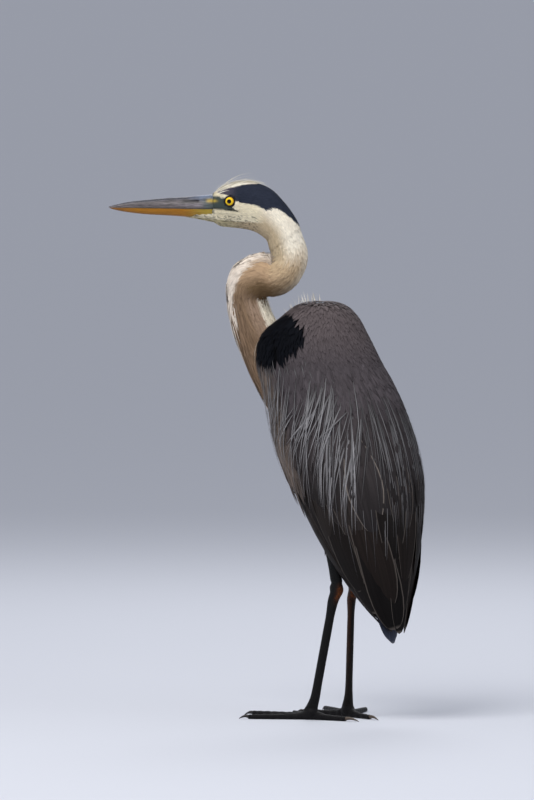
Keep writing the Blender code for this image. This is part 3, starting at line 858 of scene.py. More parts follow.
def makeSkin():
    look, sides = skinShape, skinShape["sides"]
    turns = np.arange(sides) * 360 / sides

    def rings(surface, stations, insets):
        pairs = zip(stations, np.broadcast_to(insets, len(stations)))
        return [surface(np.full(sides, at), turns, np.full(sides, -inset)) for at, inset in pairs]

    stations = np.concatenate([np.linspace(1, headEnd, 26), np.linspace(headEnd, neckLength - 4, 90)[1:]])
    depths = (look[key] for key in ("faceInset", "headInset", "napeInset", "neckInset"))
    inset = ramp(stations, list(zip((0, 24, headEnd, headEnd + 60), depths)))
    pieces = [closedLoft("neckSkin", rings(neckSurface, stations, inset))]
    stations = np.concatenate([np.linspace(4, 40, 14), np.linspace(40, 346, 60)[1:]])
    bodyRings = rings(bodySurface, stations, look["bodyInset"])
    start, reach, power = look["vent"]  # the trunk closes to a point behind the legs
    for at, ring in zip(stations, bodyRings):
        vent = math.sqrt(max(0.03, 1 - max(0, (at - start) / reach) ** power))
        middle = spline(bodyRows, at)[0][1]
        ring[:, 0] *= vent
        ring[:, 1] = middle + (ring[:, 1] - middle) * (0.3 + 0.7 * vent)
    pieces.append(closedLoft("bodySkin", bodyRings))
    for side in legPlaces:
        surface, reach = thighSurface(side)
        stations = np.linspace(-18, reach * thighShare, 24)
        pieces.append(closedLoft("thighSkin", rings(surface, stations, look["thighInset"])))
    skin = joined("skin", pieces)
    oneSurface(skin, look["voxel"], look["softening"])
    return skin


def refineFace(skin):  # finer cells on the bare skin between bill and eye, where the painted edges show
    shape = bmesh.new()
    shape.from_mesh(skin.data)
    edges = set()
    for face in shape.faces:
        middle = np.array(face.calc_center_median()) / mm
        if 130 < middle @ ahead < 205 and middle[2] + neckSettle > 700:
            edges.update(face.edges)
    bmesh.ops.subdivide_edges(shape, edges=list(edges), cuts=2, use_grid_fill=True)
    shape.to_mesh(skin.data)
    shape.free()
    skin.data.shade_smooth()


def rustTone(along, angle):
    return evenTone("rust", len(along))


def paintSkin(skin):  # each point takes the tone of the nearest place on the surfaces that it came from
    look, samples, tones = skinShape, [], []

    def sample(surface, stations, step, inset, toneOf):
        grid = np.meshgrid(stations, np.arange(0, 360, step), indexing="ij")
        along, angle = grid[0].ravel(), grid[1].ravel()
        samples.append(surface(along, angle, np.full(len(along), -inset)))
        tones.append(toneOf(along, angle))

    sample(neckSurface, np.linspace(1, neckLength - 1, 190), 5, 2.0, neckTone)
    sample(neckSurface, np.linspace(0.5, 70, 100), 1.5, look["headInset"], neckTone)
    sample(bodySurface, np.linspace(1, 350, 90), 4, look["bodyInset"], bodyTone)
    for side in legPlaces:
        surface, reach = thighSurface(side)
        sample(surface, np.linspace(0, reach * thighShare, 30), 12, look["thighInset"], rustTone)
    nearest = nearestOf(np.concatenate(samples), pointsOf(skin.data))
    paint(skin.data, np.concatenate(tones)[nearest] * look["shade"])


# Coat of head and neck.

fineLook = {"coat": "fine", "slot": "plumage_cream", "vary": 0.05}
headFeathers = {
    **fineLook, "shape": "soft", "vary": 0.06, "step": 1.8, "spread": 1.75,
    "length": (9.0, 4.5), "width": (2.2, 1.6), "rootLift": -0.9, "lift": ((0, 0.1), (14, 0.4), (90, 0.9)),
    "eyeRoom": 7.6, "darkUnder": 0.22,
}  # fmt: skip
faceFeathers = {
    **fineLook, "shape": "soft", "vary": 0.06, "step": 1.05, "spread": 1.05,
    "length": 3.4, "width": 1.25, "rootLift": -0.5, "lift": 0.75, "eyeRoom": (8.0, 12.0), "edge": 4.0,
}  # fmt: skip
lidDepth = 17.5  # how far an eye's rim lies from the head's middle plane


def awayFromEyes(along, angle, reach):
    points = neckSurface(along, angle)
    rims = [eyeCentre(side, lidDepth) for side in sideNames]
    return np.all([np.linalg.norm(points - rim, axis=1) > reach for rim in rims], axis=0)


def loresEdges(forward):
    return ramp(forward, headMarks["loresLower"]), ramp(forward, headMarks["loresUpper"])


def headCoat():
    look = headFeathers
    along, angle = rowsOn(look, neckSurface, (0.5, headEnd + 12), (0, 360))
    forward, height = headPlace(along, angle)
    lores = between(height, *loresEdges(forward))
    keep = awayFromEyes(along, angle, look["eyeRoom"]) & ((lores < 0.5) | (forward < 152))
    along, angle, forward, height = along[keep], angle[keep], forward[keep], height[keep]
    face = smoothStep(70, 10, along)
    length, width = (back - (back - front) * face for back, front in (look["length"], look["width"]))

    def toned():  # some darker feathers under the head
        tone = neckTone(along + length * 0.45, angle)
        under = (height < 706) & (forward > 128) & (random.random(len(along)) < look["darkUnder"])
        tone[under] *= 0.5
        return tone

    size = {"length": length, "width": width, "lift": ramp(along, look["lift"])}
    layDown("coatHead", look, neckSurface, along, angle, toned, **size)


def faceCoat():  # the smallest feathers, round the eyes and along the edges of the bare skin
    look = faceFeathers
    along, angle = rowsOn(look, neckSurface, (0.8, 64), (0, 360))
    forward, height = headPlace(along, angle)
    low, high = loresEdges(forward)
    bare = (height > low - 0.2) & (height < high + 0.2) & (forward > 147)
    belowLores = (height < low) & (height > low - look["edge"])
    aboveLores = (height > high) & (height < high + look["edge"])
    offEye, farOff = (awayFromEyes(along, angle, reach) for reach in look["eyeRoom"])
    keep = ~bare & offEye & (((forward > 143) & (belowLores | aboveLores)) | ~farOff)
    along, angle = along[keep], angle[keep]
    layDown("coatFace", look, neckSurface, along, angle, neckTone(along + 1.2, angle))


neckFeathers = {
    "shape": "soft", "coat": "neck", "slot": "plumage_buff", "vary": 0.07, "step": 2.9, "spread": 2.5,
    "length": ((0, 9), (60, 14), (260, 20), (400, 26)), "rootLift": -1.6, "jitter": 0.14,
    "width": ((0, 2.3), (100, 2.6), (300, 3.2), (400, 3.6)),
}  # fmt: skip


def neckCoat():
    look = neckFeathers
    along, angle = rowsOn(look, neckSurface, (headEnd + 6, neckLength - 24), (0, 360))
    down = along - headEnd
    length, low = ramp(down, look["length"]), smoothStep(90, 150, down)
    size = {"length": length, "width": ramp(down, look["width"]) * (1.4 - 0.3 * low), "lift": 0.4 + 0.6 * low}
    layDown("coatNeck", look, neckSurface, along, angle, neckTone(along + length * 0.45, angle), **size)


foreneckPlumes = {
    "shape": "plume", "coat": "plume", "slot": "plumage_buff", "vary": 0.1, "count": 620, "length": (34, 62),
    "width": (2.4, 3.6), "roots": (175, 30), "spread": 60, "most": 100, "rootLift": -1.0, "lift": 1.8,
    "light": (0.8, 1.15),
}  # fmt: skip


def hangForeneckPlumes():  # the loose plumes that hang from the lower neck over the breast
    look, count = foreneckPlumes, foreneckPlumes["count"]
    first, last = (neckLength - above for above in look["roots"])
    along = random.uniform(first, last, count)
    angle = 90 + np.clip(random.normal(0, 1, count) * look["spread"], -look["most"], look["most"])
    length, width = ranged(look, "length", "width")
    length = np.minimum(length, neckLength + 12 - along)

    def toned():
        return neckTone(along, angle) * ranged(look, "light")[0][:, None]

    layDown("plumesForeneck", look, neckSurface, along, angle, toned, length=length, width=width)


crownPlumes = {
    **fineLook, "shape": "plume", "count": 150, "along": (1.5, 46),
    "width": (1.1, 1.9), "length": (16, 38), "spread": ((0, 24), (8, 13), (20, 8), (46, 6)),
    "rootLift": -0.8, "lift": (1.2, 4.2), "light": (0.8, 1.0),
}  # fmt: skip
# a few plumes that stand up from the crown: along, angle, length, lift, width
strayPlumes = {
    **fineLook, "shape": "plume", "vary": 0.03, "rootLift": -0.8,
    "rows": (
        (16, -96, 40, 15, 2.0), (10, -84, 28, 8.5, 1.6), (20, -92, 34, 9.5, 1.6), (28, -90, 30, 7, 1.5),
        (6, -97, 20, 6, 1.5), (12, -93, 40, 12.5, 1.9), (3, -92, 18, 6.5, 1.6),
    ),
}  # fmt: skip


def paled(name, look):  # one tone at each feather's own brightness
    return lambda: evenTone(name, look["count"]) * ranged(look, "light")[0][:, None]


def layCrownPlumes():
    look = crownPlumes
    (along,) = ranged(look, "along")
    angle = -90 + random.normal(0, 1, look["count"]) * ramp(along, look["spread"])
    length, lift, width = ranged(look, "length", "lift", "width")
    size = {"length": length, "width": width, "lift": lift}
    layDown("plumesCrown", look, neckSurface, along, angle, paled("crown", look), **size)
    look = strayPlumes
    along, angle, length, lift, width = np.array(look["rows"], float).T
    laid = tractBetween(neckSurface, along, angle, along + length, angle, width, look["rootLift"], lift)
    layTract("plumesCrownStray", look, laid, evenTone("crown", len(along)), neckMap(along, angle))


# how far back the chin's feathering reaches along the bill, and its edge as (along, angle)
chinFeathers = {
    **fineLook, "shape": "hair", "vary": 0.1, "reach": 39, "step": 1.7,
    "spread": 1.7, "length": 7, "width": 1.7, "rootLift": -0.5, "edge": ((0, 4), (6, 30), (16, 58), (39, 74)),
    "lift": ((0, 0.5), (12, 1.0), (39, 1.5)), "most": 76, "dark": 0.12,
}  # fmt: skip


def chinSurface(along, angle, grow=0):  # underside of the lower bill, from the front of the feathering back
    length = billSize["tip"] - billSize["base"]
    share = np.clip((chinFeathers["reach"] - along) / length, -0.05, 1)
    row = spline(billRows, np.clip(share, 0, 1))
    turn = np.radians(angle)
    depth = np.sin(turn) * (row[:, 2] + np.reshape(grow, -1))
    drop = np.abs(np.cos(turn)) ** 0.8 * (row[:, 1] + np.reshape(grow, -1))
    forward = billSize["base"] + share * length
    height = billSize["gape"] + billSize["gapeRise"] * share - drop - neckSettle
    return np.outer(forward, ahead) + np.outer(headDepth + depth, sideways) + np.outer(height, (0, 0, 1))


def chinCoat():  # fine feathers that run forward under the bill to a point
    look = chinFeathers
    along, angle = rowsOn(look, chinSurface, (0, look["reach"] + 3), (-look["most"], look["most"]))
    keep = np.abs(angle) < ramp(along, look["edge"])
    along, angle = along[keep], angle[keep]
    lift = ramp(along, look["lift"]) * random.uniform(0.5, 1.5, len(along))
    laid = tractOn(chinSurface, along, angle, look["length"], look["width"], look["rootLift"], lift)
    tone = layered(evenTone("chin", len(along)), ("white", smoothStep(20, 60, np.abs(angle)) * 0.5))
    tone[random.random(len(along)) < look["dark"]] *= 0.5
    layTract("coatChin", look, laid, tone, neckMap(along * 0.2, angle + 90))


neckDown = {
    **fineLook, "shape": "plume", "count": 150,
    "along": (122, 186), "angle": (-94, -66), "lift": (0.6, 3.2), "length": (8, 15), "width": (1.2, 2.2),
    "rootLift": -1.0, "drift": 16, "light": (0.82, 1.0),
}  # fmt: skip


def neckFluff():  # white down at the back of the neck, below the bend
    look, count = neckDown, neckDown["count"]
    along, side = ranged(look, "along", "angle")
    angle = np.where(random.random(count) < 0.5, side, -180 - side)
    lift, length, width = ranged(look, "lift", "length", "width")
    size = {"lift": lift, "length": length, "width": width, "drift": random.normal(0, look["drift"], count)}
    layDown("fluffNeck", look, neckSurface, headEnd + along, angle, paled("white", look), **size)


wispFeathers = {
    **fineLook, "shape": "plume", "count": 54, "along": (8, 36),
    "left": (-88, -36), "right": (216, 268), "outward": (-0.2, 1.1), "scatter": 0.45, "length": (4, 17),
    "width": (0.3, 0.7),
}  # fmt: skip


def napeWisps():  # loose white feathers where the back of the neck meets the mantle
    look, count = wispFeathers, wispFeathers["count"]
    (along,) = ranged(look, "along")
    angle = np.where(random.random(count) < 0.5, *ranged(look, "left", "right"))
    root, normal = normalOf(bodySurface, along, angle)
    up = np.array((0, 0, 0.8)) + normal * ranged(look, "outward")[0][:, None]
    up = up + random.normal(0, look["scatter"], (count, 3))
    length, width = ranged(look, "length", "width")
    tip = root + unit(up) * length[:, None]
    middle = (root + tip) / 2 + normal * 1.2
    laid = layBetween(root - normal * 1.5, middle, tip, normal, normal, width)
    layTract("wispsNape", look, laid, evenTone("white", count), bodyMap(along, angle))


# Coat of the body.

mantleFeathers = {
    "shape": "soft", "coat": "body", "slot": "plumage_slate", "vary": 0.07, "step": 3.4, "spread": 3.0,
    "length": 19, "width": 4.8, "rootLift": -2.4, "lift": 0.2, "jitter": 0.16, "flecks": 0.008,
}  # fmt: skip


def mantleCoat():  # right round at the top, and open in front of the breast below
    look = mantleFeathers
    edges = (lambda at: -90 if at < 108 else -64, lambda at: 270 if at < 108 else 244)
    along, angle = rowsOn(look, bodySurface, (2, 170), edges)
    keep = patchShare(along + 15, angle) < 0.5
    along, angle = along[keep], angle[keep]

    def toned():
        tone = bodyTone(along + 15, angle)
        tone[random.random(len(along)) < look["flecks"]] *= 1.6
        return tone

    layDown("coatMantle", look, bodySurface, along, angle, toned)


# the parting, as (height, angle), is the line from which the patch's feathers fall to both sides; painted
# shadow darkens the feathers along it
shoulderFeathers = {
    "shape": "soft", "coat": "body", "slot": "plumage_slate", "vary": 0.1, "step": 3.8, "spread": 3.6,
    "length": 18, "width": 5.0, "rootLift": -2.0, "lift": 1.5, "jitter": 0.12,
    "parting": ((487, -15), (531, -12), (545, -22), (560, -44)),
}  # fmt: skip
# grey and white streaks below the patch, and a white rim in front of it
shoulderStreaks = {
    "shape": "plume", "coat": "plume", "slot": "plumage_slate", "vary": 0.1, "count": 70, "rimShare": 0.3,
    "height": (488, 506), "angle": (-54, 20), "rimHeight": (505, 534), "rimAngle": (-62, -58),
    "length": (14, 24), "width": (0.8, 1.5), "rootLift": 0.2, "light": (0.2, 0.5),
}  # fmt: skip


def patchCoat():
    look = shoulderFeathers
    along, angle = rowsOn(look, bodySurface, (24, 118), (-68, 248))
    keep = (patchShare(along + 16, angle) > 0.5) & (patchShare(along + 4, angle) > 0.5)
    along, angle = along[keep], angle[keep]
    low = smoothStep(524, 508, heightOf(along))
    aside = folded(angle) - ramp(heightOf(along), look["parting"])
    parting = hump(aside, 0, 2.6)
    drift = np.where(np.cos(np.radians(angle)) > 0, 1, -1) * (np.sign(aside) * 8 * hump(aside, 0, 14))
    size = {"length": look["length"] + 3 * low, "lift": look["lift"] + 1.2 * low - 1.6 * parting}
    # painted shadow in the cleft along the parting: the patch's feathers are darker there
    tone = evenTone("patch", len(along)) * (1 - 0.75 * parting)[:, None]
    layDown("coatShoulder", look, bodySurface, along, angle, tone, drift=drift, **size)
    look, count = shoulderStreaks, shoulderStreaks["count"]
    height, low = ranged(look, "height", "angle")
    front = random.random(count) < look["rimShare"]
    height, low = np.where(front, ranged(look, "rimHeight", "rimAngle"), (height, low))
    angle = np.where(random.random(count) < 0.5, low, 180 - low)
    tone = layered(evenTone("plume", count), ("white", front * 1.0))
    tone = tone * np.where(front, 0.7, ranged(look, "light")[0])[:, None]
    width, length = ranged(look, "width", "length")
    size = {"length": length, "width": width, "lift": np.where(front, 2.6, 1.6)}
    layDown("streaksShoulder", look, bodySurface, alongOf(height), angle, tone, **size)


bellyFeathers = {
    "shape": "small", "coat": "body", "slot": "plumage_grey", "vary": 0.1, "step": 6.0, "spread": 5.0,
    "length": 26, "width": 5.6, "rootLift": -3.5, "lift": 0.0,
}  # fmt: skip
bellyStreaks = {
    "shape": "hair", "coat": "plume", "slot": "plumage_grey", "vary": 0.15, "count": 300, "rusty": 0.15,
    "along": (100, 356), "spread": 13, "most": 26, "length": (14, 30), "width": (1.6, 3.2), "rootLift": -1.0,
    "lift": 0.7,
}  # fmt: skip


def flankCoat():  # breast, belly and the sides in front of the folded wings, down to the vent
    look = bellyFeathers
    along, angle = rowsOn(look, bodySurface, (95, 366), (-128, -52))
    layDown("coatBelly", look, bodySurface, along, angle, bodyTone(along + 10, angle))
    look, count = bellyStreaks, bellyStreaks["count"]
    (along,) = ranged(look, "along")
    angle = -90 + np.clip(random.normal(0, look["spread"], count), -look["most"], look["most"])
    length, width = ranged(look, "length", "width")

    def toned():
        rusty = (random.random(count) < look["rusty"]) * 0.8
        return layered(evenTone("black", count), ("rust", rusty))

    layDown("streaksBelly", look, bodySurface, along, angle, toned, length=length, width=width)


# length, width and lifts are for the upper coverts and how much they grow towards the lower ones
covertFeathers = {
    "shape": "long", "coat": "body", "slot": "plumage_slate", "vary": 0.13, "step": 7.0, "spread": 5.2,
    "length": (32, 26), "width": (6.5, 4.0), "rootLift": (-2.4, 2.2), "lift": (0.8, 3.4), "jitter": 0.14,
    "thinning": 0.35, "drift": ((-60, -4), (10, -16), (50, -4), (88, 3)), "fringe": (112, 104, 100),
}  # fmt: skip


def coverts():  # long soft coverts over both folded wings
    look = covertFeathers
    for side, title in sideNames.items():
        along, angle = rowsOn(look, bodySurface, (100, 258), (-62, 88))
        keep = patchShare(along, angle) < 0.5
        along, angle = along[keep], angle[keep]
        grown = smoothStep(120, 290, along)
        keep = random.random(len(along)) < 1 - look["thinning"] * grown
        along, angle, grown = along[keep], angle[keep], grown[keep]
        here = angle if side > 0 else 180 - angle
        size = {key: look[key][0] + look[key][1] * grown for key in ("length", "width", "rootLift", "lift")}
        size["drift"] = ramp(angle, look["drift"]) * side
        tone = bodyTone(along + 18 + 44 * grown, here)
        fringe = fringeOf(linear(*look["fringe"]), 0.2, len(tone))
        layDown("coverts" + title, look, bodySurface, along, here, tone, fringe, **size)


thighFeathers = {
    "shape": "hair", "coat": "neck", "slot": "plumage_rust", "vary": 0.12, "step": 4.2, "spread": 3.6,
    "length": 12, "width": 4, "rootLift": -1.5, "lift": 0.8, "mapPlace": {"left": 0.1, "right": 0.3},
}  # fmt: skip


def thighCoat(side):
    look = thighFeathers
    surface, reach = thighSurface(side)
    along, angle = rowsOn(look, surface, (-10, reach * 0.585), (0, 360))
    laid = tractOn(surface, along, angle, look["length"], look["width"], look["rootLift"], look["lift"])
    tone = layered(evenTone("rust", len(along)), ("warm", smoothStep(0.25, thighShare, along / reach)))
    where = topMap(surface(along, angle), look["mapPlace"][side])
    layTract("coatThigh" + side.title(), look, laid, tone, where)


# Long feathers of a folded wing, inner ones first: root and tip as (height, angle), width, and height over
# the body.
wingFeathers = {
    "primaries": (
        "flight",
        [((370 - 6 * i, -50 + 7 * i), (114 + 4.0 * i, -20 + 10 * i), 19, -1.2 + 0.1 * i) for i in range(11)],
    ),
    "secondaries": (
        "flight",
        [((390 - 3 * i, -52 + 7 * i), (136 + 6 * i, -42 + 8 * i), 24, 0.13 * i) for i in range(14)],
    ),
    "leading": ("flight", [((352, -54), (146, -44), 24, 0.9), ((348, -50), (134, -34), 24, 0.7)]),
    "rounded": (
        "rounded",
        [
            ((370, 70), (124, 64), 30, 0.8), ((384, 28), (130, 42), 50, 1.9), ((370, 6), (152, -12), 30, 1.5),
            ((390, 26), (160, 36), 50, 2.7), ((384, 2), (182, -6), 38, 2.5),
        ],
    ),
    "tertials": (
        "tertial",
        [
            ((370, 76), (146, 76), 34, 1.5), ((386, 74), (190, 76), 38, 2.1), ((380, 10), (206, 6), 38, 2.3),
            ((386, 58), (217, 54), 46, 2.6), ((380, 0), (232, -18), 34, 2.7), ((388, 18), (240, 18), 44, 3.0),
            ((388, 68), (252, 72), 42, 3.2), ((392, 36), (264, 38), 52, 3.6), ((392, 12), (274, 4), 38, 3.3),
            ((390, 54), (278, 58), 38, 3.5),
        ],
    ),
}  # fmt: skip
flightLook = {
    "coat": "flight", "slot": "plumage_slate", "vary": 0.16, "tuck": 3.5, "large": 51, "largeRim": 1.5,
    "rimShare": {"flight": 0.22, "rounded": 0.6, "tertial": 0.6}, "rim": (98, 91, 85), "shade": 0.8,
    "lowest": 124,
}  # fmt: skip


def flightFeathers():
    look, lowest = flightLook, flightLook["lowest"]
    for side, sideName in sideNames.items():
        for title, (shape, rows) in wingFeathers.items():
            table = np.array([(*root, *tip, width, lift) for root, tip, width, lift in rows], float)
            table[:, 1] += random.normal(0, 1.0, len(table))
            table[:, 3] += random.normal(0, 1.5, len(table))
            rootHeight, angle, tipHeight, tipAngle, width, lift = table.T
            along = alongOf(rootHeight)
            tipAlong = alongOf(tipHeight) + np.maximum(0, lowest - tipHeight)  # on past the body's last row
            if side < 0:
                angle, tipAngle = 180 - angle, 180 - tipAngle
            laid = tractBetween(bodySurface, along, angle, tipAlong, tipAngle, width, lift - look["tuck"], lift)
            large = width > look["large"]
            tone = layered(
                bodyTone(tipAlong - 60, tipAngle),
                ("tips", smoothStep(290, 130, tipHeight) * 0.9),
                ("warm", np.where(width > 50, 0, random.uniform(0, 0.5, len(table)))),
            )
            rim = linear(*look["rim"]) * np.where(large, look["largeRim"], 1.0)[:, None]
            fringe = fringeOf(rim, np.where(large, 1.0, look["rimShare"][shape]), len(table))
            where = bodyMap(along, angle)
            feather = {**look, "shape": shape}
            layTract(title + sideName, feather, laid, tone * look["shade"], where, fringe, patch=0.01)


# Thin plumes hanging over the wings: how many, then ranges of root angle and height, tip angle and height,
# width, and brightness.
plumeGroups = {
    "silver": (22, (14, 42), (436, 488), (-26, 8), (306, 390), (1.6, 2.5), (0.4, 0.8)),
    "silverLong": (22, (16, 46), (390, 450), (-12, 20), (262, 312), (1.7, 2.7), (0.5, 0.9)),
    "silverFine": (36, (4, 56), (400, 490), (-34, 32), (280, 390), (1.0, 1.5), (0.25, 0.6)),
    "front": (44, (-44, 6), (430, 500), (-62, -34), (310, 420), (1.1, 1.8), (0.4, 0.8)),
    "middle": (16, (48, 88), (410, 480), (34, 84), (250, 350), (1.0, 1.6), (0.15, 0.35)),
    "low": (8, (8, 66), (360, 420), (-20, 54), (200, 250), (1.0, 1.5), (0.25, 0.45)),
    "back": (18, (60, 88), (430, 470), (58, 86), (240, 330), (1.0, 1.7), (0.3, 0.55)),
}
plumeLook = {
    "shape": "plume", "coat": "plume", "slot": "plumage_grey", "vary": 0.08, "rootLift": 0.3,
    "lift": (5.4, 7.6),
}  # fmt: skip


def hangingPlumes():
    for side, title in sideNames.items():
        parts = []
        for count, rootAngle, rootHeight, tipAngle, tipHeight, width, light in plumeGroups.values():
            share = random.random(count)
            angle = rootAngle[0] + (rootAngle[1] - rootAngle[0]) * share
            there = tipAngle[0] + (tipAngle[1] - tipAngle[0]) * share + random.normal(0, 3, count)
            ranges = [random.uniform(*limits, count) for limits in (rootHeight, tipHeight, width, light)]
            parts.append((angle, there, *ranges))
        angle, there, height, tipHeight, width, light = (np.concatenate(column) for column in zip(*parts))
        if side < 0:
            angle, there = 180 - angle, 180 - there
        along, tipAlong = alongOf(height), alongOf(tipHeight)
        lift = random.uniform(*plumeLook["lift"], len(along))
        laid = tractBetween(bodySurface, along, angle, tipAlong, there, width, plumeLook["rootLift"], lift)
        tone = evenTone("plume", len(along)) * light[:, None]
        layTract("plumes" + title, plumeLook, laid, tone, bodyMap(along, angle))


# edges of the lining as (height, angle), and its thickness by height
wingLining = {
    "heights": (140, 430, 40), "columns": 24, "inset": 2.2,
    "lower": ((124, -45), (255, -45), (320, -58), (400, -64)),
    "upper": ((124, 86), (300, 86), (360, 84), (440, 66)),
    "thick": ((124, 1.2), (240, 2.0), (330, 3.5), (430, 5.0)),
    "finish": {"roughness": 0.7, "specular": 0.2, "grain": 0.3, "grainScale": 200.0},
}  # fmt: skip


def wingShell(side):  # the inner side of a folded wing below the trunk, under its long feathers
    look, columns = wingLining, wingLining["columns"]
    rings = []
    for height in np.linspace(*look["heights"]):
        along = np.full(columns, float(alongOf(height)))
        turns = np.linspace(ramp(height, look["lower"]) + 3, ramp(height, look["upper"]) - 2, columns)
        thick = ramp(height, look["thick"]) * np.sin(np.linspace(0.12, math.pi - 0.12, columns)) ** 0.6
        outer = bodySurface(along, turns, -look["inset"])
        inner = outer - unit(bodySurface(along, turns) - outer) * thick[:, None]
        ring = np.concatenate([outer, inner[::-1]])
        ring[:, 0] = np.maximum(ring[:, 0], 0.8) * side
        rings.append(ring)
    piece = closedLoft("wingInner" + sideNames[side], rings)
    height = pointsOf(piece.data)[:, 2]
    paint(piece.data, blend(plumageTones["tips"], plumageTones["tail"], smoothStep(240, 400, height)) * 0.8)
    return piece


# Tail feathers folded over one another; fan gives half widths at root, middle and tip.
tailLook = {
    "shape": "rounded", "coat": "flight", "slot": "plumage_grey", "vary": 0.06, "count": 12, "width": 24.0,
    "fan": (13, 15, 8), "fringe": (120, 122, 128),
}  # fmt: skip


def tailFeathers():
    look, count = tailLook, tailLook["count"]
    middle = (count - 1) / 2
    x = (np.arange(count) - middle) / middle
    flat, fan = np.ones(count), look["fan"]
    root = np.column_stack([x * fan[0], 52 * flat, 262 * flat])
    bend = np.column_stack([x * fan[1] + 1, 60 + 2 * abs(x), 190 * flat])
    tip = np.column_stack([x * fan[2], 82 - 3 * abs(x), 109 + 7 * abs(x)])
    for name, face in (("tailUnder", -1), ("tailUpper", 1)):
        normal = np.broadcast_to(np.array((0, face * 0.94, face * 0.34)), (count, 3))
        layer = np.abs(np.arange(count) - middle)[:, None] * np.array((0, -0.12, 0)) * face + normal * 0.5
        width = np.full(count, look["width"])
        laid = layBetween(root + layer, bend + layer, tip + layer, normal, normal, width)
        fringe = fringeOf(linear(*look["fringe"]), 0.5, count)
        piece = layTract(name, look, laid, evenTone("tail", count), topMap(root, 0.6), fringe, patch=0.005)
        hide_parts("tail")


# Bill, and eyes with their lids.

billLook = {
    "sides": 33, "rings": 60, "tipRings": 16, "overlap": 0.3, "lowerShorter": 1.5, "seam": 0.15,
    "upper": {"roughness": 0.45, "specular": 0.35, "streaks": (1.5, 0.8)},
    "lower": {"roughness": 0.42, "specular": 0.35, "streaks": (0.3, 0.7)},
}  # fmt: skip
billTones = {
    "grey": (84, 78, 80), "ridge": (54, 54, 64), "blue": (100, 112, 134), "mauve": (124, 118, 124),
    "slit": (12, 11, 13), "glint": (150, 160, 178), "yellow": (190, 160, 60), "edge": (36, 30, 30),
    "orange": (150, 98, 4), "olive": (150, 128, 44), "tip": (128, 84, 34), "under": (104, 70, 26),
}  # fmt: skip
billTones = {name: linear(*tone) for name, tone in billTones.items()}


# share runs from the base to the tip, lift from the edge of a half to its ridge
def upperBillTone(share, lift):
    tones = billTones
    middle = smoothStep(0.5, 0.4, lift) * smoothStep(0.1, 0.22, lift)
    slit = smoothStep(0.1, 0.13, share) * smoothStep(0.29, 0.24, share)
    return layered(
        blend(tones["grey"], tones["ridge"], smoothStep(0.6, 0.95, lift)),
        (tones["blue"], smoothStep(0.26, 0.04, share) * smoothStep(0.5, 0.8, lift) * 0.85),
        (tones["mauve"], smoothStep(0.4, 0.1, share) * middle * 0.7),
        (tones["slit"], hump(lift, 0.62, 0.1) * slit),
        # a painted highlight: a small pale blue glint low on the upper bill, near its base
        (tones["glint"], hump(lift, 0.26, 0.1) * hump(share, 0.035, 0.018) * 0.8),
        ("lores", smoothStep(0.13, 0.03, share) * smoothStep(0.9, 0.6, lift) * 0.9),
        (tones["yellow"], hump(lift, 0.6, 0.12) * smoothStep(0.06, 0.02, share) * 0.85),
        (tones["edge"], smoothStep(0.15, 0.04, lift) * 0.75),
    )


def lowerBillTone(share, lift):
    tones, even = billTones, np.ones(len(lift))
    return layered(
        tones["olive"],
        (tones["orange"], smoothStep(0.02, 0.3, share) * even),
        (tones["tip"], smoothStep(0.7, 1.0, share) * even),
        (tones["under"], smoothStep(0.75, 1.0, lift) * smoothStep(0.2, 0.5, share) * 0.6),
    )


def makeBill(upper):  # half of the bill, rounded outward and flat where the halves meet, with its groove
    look, way = billLook, 1 if upper else -1
    toTip = 1 - 0.1 * (1 - np.linspace(0, 1, look["tipRings"])[1:]) ** 1.5
    turn = np.linspace(0, math.pi, look["sides"])
    lift = np.sin(turn) ** 0.8
    reach = billSize["tip"] - billSize["base"] - (0 if upper else look["lowerShorter"])
    rings, tones = [], []
    for share in np.concatenate([(-0.05, -0.025), np.linspace(0, 0.9, look["rings"]), toTip]):
        above, below, width = spline(billRows, share)[0] * (1 - 0.14 * smoothStep(0, -0.05, share))
        if upper:
            groove = hump(lift, 0.62, 0.13) * smoothStep(0.62, 0.4, share) * 0.9
            cut = groove + hump(lift, 0.6, 0.06) * hump(share, 0.13, 0.05) * 1.3
        else:
            cut = hump(lift, 0.55, 0.16) * smoothStep(0.6, 0.3, share) * 0.5
        depth = np.cos(turn) * width
        depth -= np.sign(depth) * cut
        depth += np.sign(depth) * 0.5 * hump(lift, 0, 0.1) * smoothStep(1.0, 0.8, share)
        forward = billSize["base"] + look["overlap"] + reach * share
        gape = billSize["gape"] + billSize["gapeRise"] * share + look["seam"] * way
        heights = gape + lift * (above if upper else below) * way
        rings.append(np.array([place(forward, height, headDepth + d) for height, d in zip(heights, depth)]))
        tones.append((upperBillTone if upper else lowerBillTone)(share, lift))
    piece = closedLoft("billUpper" if upper else "billLower", rings, np.concatenate(tones))
    points = np.concatenate(rings)
    streakPlace = np.column_stack([points @ ahead, points[:, 2], points @ sideways])
    store(piece.data, "streakPlace", "FLOAT_VECTOR", streakPlace)
    piece.data.set_sharp_from_angle(angle=math.radians(60))
    return piece


# the cornea bulges over the iris; all tones are 0 to 255
eyeLook = {
    "radius": 8.4, "sides": 48, "cornea": 0.35, "iris": (244, 206, 30), "amber": (222, 142, 24),
    "pupil": (8, 8, 10), "ball": (22, 20, 20), "turnedAhead": 0.16,
    "finish": {"roughness": 0.1, "specular": 0.2, "coat": 0.05},
}  # fmt: skip


def ringTurns(sides):
    return np.arange(sides) * 2 * math.pi / sides


def facingOut(side, turnedAhead):  # the way that an eye looks
    return unit((sideways * side + ahead * turnedAhead)[None])[0]


